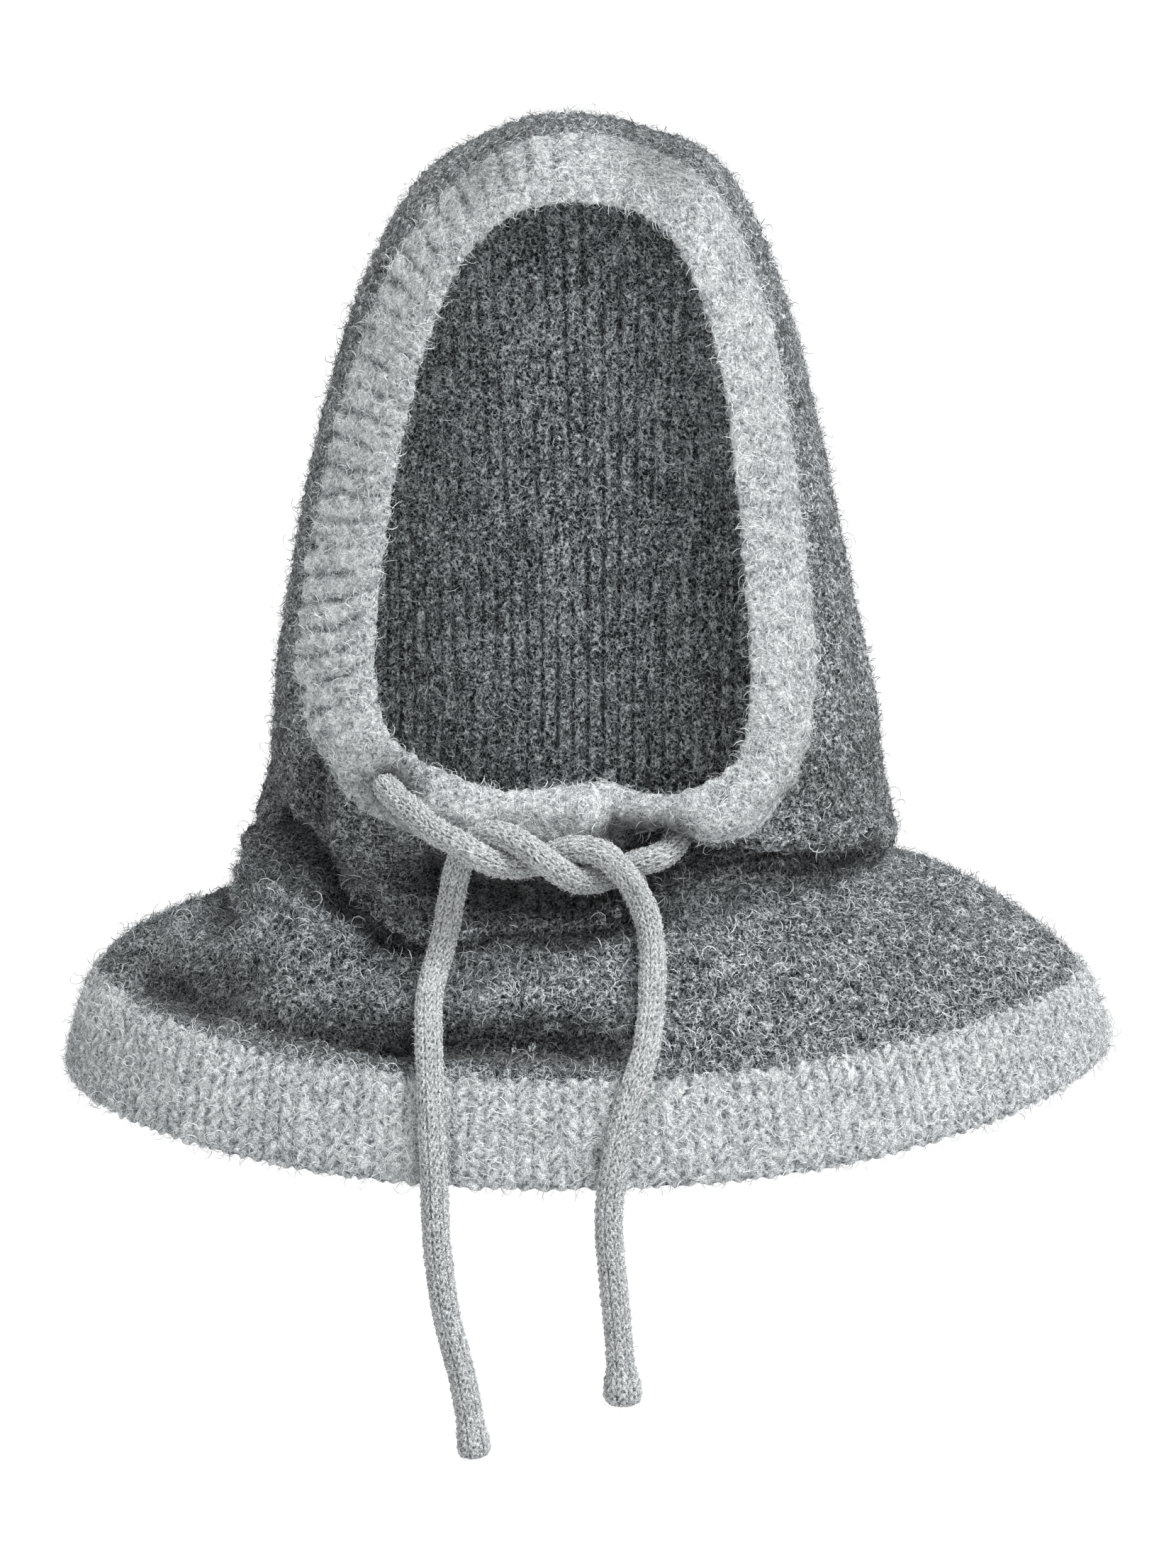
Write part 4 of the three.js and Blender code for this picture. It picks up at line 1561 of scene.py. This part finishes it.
@dataclass
class Studio:
    """The camera, the lights and the floor."""

    lens: float = 138.7
    distance: float = 2.3
    elevation: float = 8.0
    target: tuple[float, float, float] = (0.0, 0.0, -0.2495)
    floor_z: float = -1.25
    floor_reach: float = 2.35
    backdrop: float = 1.05
    ambient: float = 0.42
    horizon: tuple[float, float] = (0.02, 0.35)
    overhead: float = 3.5
    overhead_spread: float = 28.0
    overhead_from: tuple[float, float, float] = (0.5, -0.42, 1.1)
    front: float = 12.0
    front_from: tuple[float, float, float] = (0.15, -2.5, 0.2)
    front_size: float = 0.9

    def seen(self, places: np.ndarray) -> tuple[np.ndarray, np.ndarray, np.ndarray]:
        """Where the camera sees places of the garment, in millimetres on the target's plane.

        Args:
            places: points before the crown's lift, in millimetres.

        Returns:
            How far across, how far up, and how far behind the target.
        """
        tilt = math.radians(self.elevation)
        x, y, z = (places[..., k] - self.target[k] / MM for k in range(3))
        z = z + CROWN_LIFT
        behind = y * math.cos(tilt) - z * math.sin(tilt)
        scale = self.distance / (self.distance + behind * MM)
        return x * scale, (y * math.sin(tilt) + z * math.cos(tilt)) * scale, behind

    @staticmethod
    def aim(thing: bpy.types.Object, way: Vector, place: Vector) -> None:
        """Puts a camera or a light at a place and turns it to look along a way.

        Args:
            thing: the camera's or the light's object.
            way: where it looks.
            place: where it hangs.
        """
        thing.location = place
        thing.rotation_mode = "QUATERNION"
        thing.rotation_quaternion = way.to_track_quat("-Z", "Y")

    def camera(self) -> None:
        """Makes the camera at the photograph's angle."""
        tilt = math.radians(self.elevation)
        back = Vector((0.0, -math.cos(tilt), math.sin(tilt)))
        data = bpy.data.cameras.new("view")
        data.lens = self.lens
        eye = put("view", data)
        self.aim(eye, -back, Vector(self.target) + back * self.distance)
        bpy.context.scene.camera = eye

    def light(self, name: str, kind: str, energy: float, way: Vector, place: Vector,
              **settings: object) -> None:
        """Hangs a light.

        Args:
            name: the light's name.
            kind: SUN or AREA.
            energy: how strong it is.
            way: where it shines.
            place: where it hangs.
            settings: its own settings.
        """
        lamp = bpy.data.lights.new(name, kind)
        lamp.energy = energy
        for key, value in settings.items():
            setattr(lamp, key, value)
        self.aim(put(name, lamp), way, place)

    def floor(self) -> None:
        """Makes the plain pale floor."""
        mesh = bpy.data.meshes.new("floor")
        reach, low = self.floor_reach, self.floor_z
        mesh.from_pydata([(-reach, -reach, low), (reach, -reach, low), (reach, reach, low),
                          (-reach, reach, low)], [], [(0, 1, 2, 3)])
        floor = put("floor", mesh)
        paint = bpy.data.materials.new("pale_floor")
        paint.use_nodes = True
        shader = paint.node_tree.nodes["Principled BSDF"]
        shader.inputs["Base Color"].default_value = (0.6, 0.6, 0.6, 1.0)
        shader.inputs["Roughness"].default_value = 1.0
        shader.inputs["Specular IOR Level"].default_value = 0.0
        mesh.materials.append(paint)

    def room(self) -> None:
        """Makes the soft light, from a pale room and two lights."""
        world = bpy.data.worlds.new("room")
        world.use_nodes = True
        bench = Bench(world.node_tree)
        way = bench.out("ShaderNodeTexCoord", name="Generated")
        height = bench.out("ShaderNodeSeparateXYZ", {}, {"Vector": way}, "Z")
        dim = height.between(*self.horizon) * (self.ambient - self.backdrop)
        sky = world.node_tree.nodes["Background"]
        world.node_tree.links.new((dim + self.backdrop).socket, sky.inputs["Strength"])
        sky.inputs["Color"].default_value = (1.0, 1.0, 1.0, 1.0)
        bpy.context.scene.world = world
        self.light("overhead", "SUN", self.overhead, -Vector(self.overhead_from), Vector(),
                   angle=math.radians(self.overhead_spread))
        place = Vector(self.front_from)
        self.light("front", "AREA", self.front, Vector(self.target) - place, place,
                   shape="SQUARE", size=self.front_size)
        bpy.context.scene.view_settings.view_transform = "Standard"


class Workroom:
    """The recipes that the pieces share."""

    # How far each strand bends, in radians, and its widths from root to tip.
    SHAPES = {Strand.WISP: (1.3, (0.0, 0.046, 0.04, 0.0)),
              Strand.CURL: (3.4, (0.02, 0.022, 0.022, 0.02, 0.016, 0.0))}
    ARCH = 0.16

    def __init__(self) -> None:
        """Makes the strands that are repeated and the trees that place them."""
        self.relief = KnitRelief("knit_relief", {
            "Stitch Depth": 0.001, "Rib Depth": 0.0, "Tuft Depth": 0.001,
            "Tuft Size": 0.0055, "Rough Depth": 0.0004, "Unevenness": 0.35})
        shared = {"Density": 1.0, "Length": 0.005, "Lift": 0.07, "Flyaway": 0.4, "Tone": 0.0}
        self.naps = {kind: BrushedNap(kind.value, self._strand(kind), **shared)
                     for kind in Strand}

    def _strand(self, kind: Strand) -> bpy.types.Object:
        """Makes a thin strip about one long, bent sideways and arched over its length.

        Args:
            kind: a short wisp or a hooked curl.

        Returns:
            The object, which isn't in the scene.
        """
        turn, widths = self.SHAPES[kind]
        points, faces, before = [], [], []
        for k, width in enumerate(widths):
            share = k / (len(widths) - 1)
            angle = turn * share
            out = np.array([1 - math.cos(angle), 0.0, math.sin(angle)]) / turn
            out[1] = self.ARCH * math.sin(math.pi * share)
            side = np.array([math.cos(angle), 0.0, -math.sin(angle)]) * width / 2
            here = [out - side, out + side] if width else [out]
            now = list(range(len(points), len(points) + len(here)))
            points += [tuple(place) for place in here]
            if before:
                faces.append(before + now[::-1])
            before = now
        mesh = bpy.data.meshes.new(kind.value)
        mesh.from_pydata(points, [], faces)
        return bpy.data.objects.new(kind.value, mesh)

    def clear(self) -> None:
        """Removes the strands that were only repeated."""
        for recipe in self.naps.values():
            bpy.data.objects.remove(recipe.strand)


def cords() -> list[Drawstring]:
    """Lists the drawstring's two ends, named by the side on which they hang.

    Returns:
        The left end and the right end.
    """
    shared = dict(finish=CORD_WOOL, around=44, wales=9, course_pitch=3.1,
                  relief=dict(stitch_depth=0.0015, tuft_depth=0.0003, rough_depth=0.0004,
                              unevenness=0.3),
                  naps={Strand.WISP: dict(count=3500, length=0.0024, flyaway=0.6)})
    return [
        Drawstring("cord_left", "drawstring_left", seed=41, route=LEFT_ROUTE, end_width=13.6,
                   end_reach=17.0, length=0.314, **shared),
        Drawstring("cord_right", "drawstring_right", seed=42, route=RIGHT_ROUTE,
                   end_width=11.6, end_reach=16.0, length=0.339, **shared),
    ]


def garment() -> list[GarmentPiece]:
    """Lists the hood, the cape and the two bands.

    Returns:
        The pieces, in the order of making.
    """
    wool = dict(stitch_depth=0.0012, rib_depth=0.0024, tuft_depth=0.0016, tuft_size=0.0046,
                rough_depth=0.0010)
    wisp, curl = dict(length=0.0051), dict(length=0.009, lift=0.1, tone=0.1)
    short = {Strand.WISP: dict(count=17000, length=0.0046),
             Strand.CURL: dict(count=1500, length=0.0075, lift=0.12)}
    return [
        GarmentPiece("hood_knit", "hood", DARK_WOOL, 440, 112, 4.6, wool,
                     {Strand.WISP: dict(count=43000, **wisp),
                      Strand.CURL: dict(count=2600, **curl)},
                     11, rows=100, inner_rows=54, inner_nap=0.7, back_nap=0.4, inner_rib=1.3,
                     # painted shade on the hood's lowest stretch outside
                     low_shade=0.25),
        GarmentPiece("cape_knit", "cape", DARK_WOOL, 560, 150, 4.6, wool,
                     {Strand.WISP: dict(count=34000, **wisp),
                      Strand.CURL: dict(count=2000, **curl)},
                     12, start="neck_crease", end="hem_seam", rows=56, inner_rows=12,
                     inner_nap=0.1),
        FaceBand("face_band_knit", "face_band", RIB_WOOL, 576, 72, 4.6,
                 dict(stitch_depth=0.0005, rib_depth=0.0022, tuft_depth=0.0013,
                      tuft_size=0.005, rough_depth=0.0009, unevenness=0.8),
                 short, 13, start="face_edge", end="band_seam", thick=8.0, rows=30,
                 # painted shade in the band's folds and pocket; no painted light inside
                 inner_shade=1.0, fold_shade=0.11),
        Band("hem_band_knit", "hem_band", HEM_WOOL, 736, 92, 5.0,
             dict(stitch_depth=0.0017, tuft_depth=0.0011, tuft_size=0.005,
                  rough_depth=0.0010, unevenness=0.5),
             short, 14, start="hem_seam", end="hem_edge", thick=6.4, rows=28,
             inner_nap=0.2, inner_shade=1.0, free_first=False, nose=4.0),
    ]


def corners(box: tuple[Vector, Vector]) -> list[list[float]]:
    """A box as plain numbers."""
    return [list(corner) for corner in box]


def main() -> None:
    """Builds the pieces around the frame, in order."""
    logging.basicConfig(level=logging.INFO, format="%(name)s: %(message)s")
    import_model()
    studio, workroom = Studio(), Workroom()
    studio.camera()
    made: dict[str, list[bpy.types.Object]] = {}
    for cord in cords():
        made[cord.name] = cord.build(cord.skin(), workroom)
        cord.declare(made[cord.name])
    loops = [replace(loop, **BULGE.get(loop.name, {})) for loop in LOOPS]
    form = GarmentForm(loops, (*SAGS, CHIN_SAG), FOLDS + DRAPE, LIFTS, studio.seen)
    for piece in garment():
        made[piece.name] = piece.build(piece.skin(form), workroom)
        piece.flat(form)
    for objects in made.values():
        for piece in objects:
            LOG.info("%s: %d triangles", piece.name,
                     len(piece.data.loops) - 2 * len(piece.data.polygons))
    workroom.clear()
    studio.floor()
    studio.room()


if __name__ == "__main__":
    main()
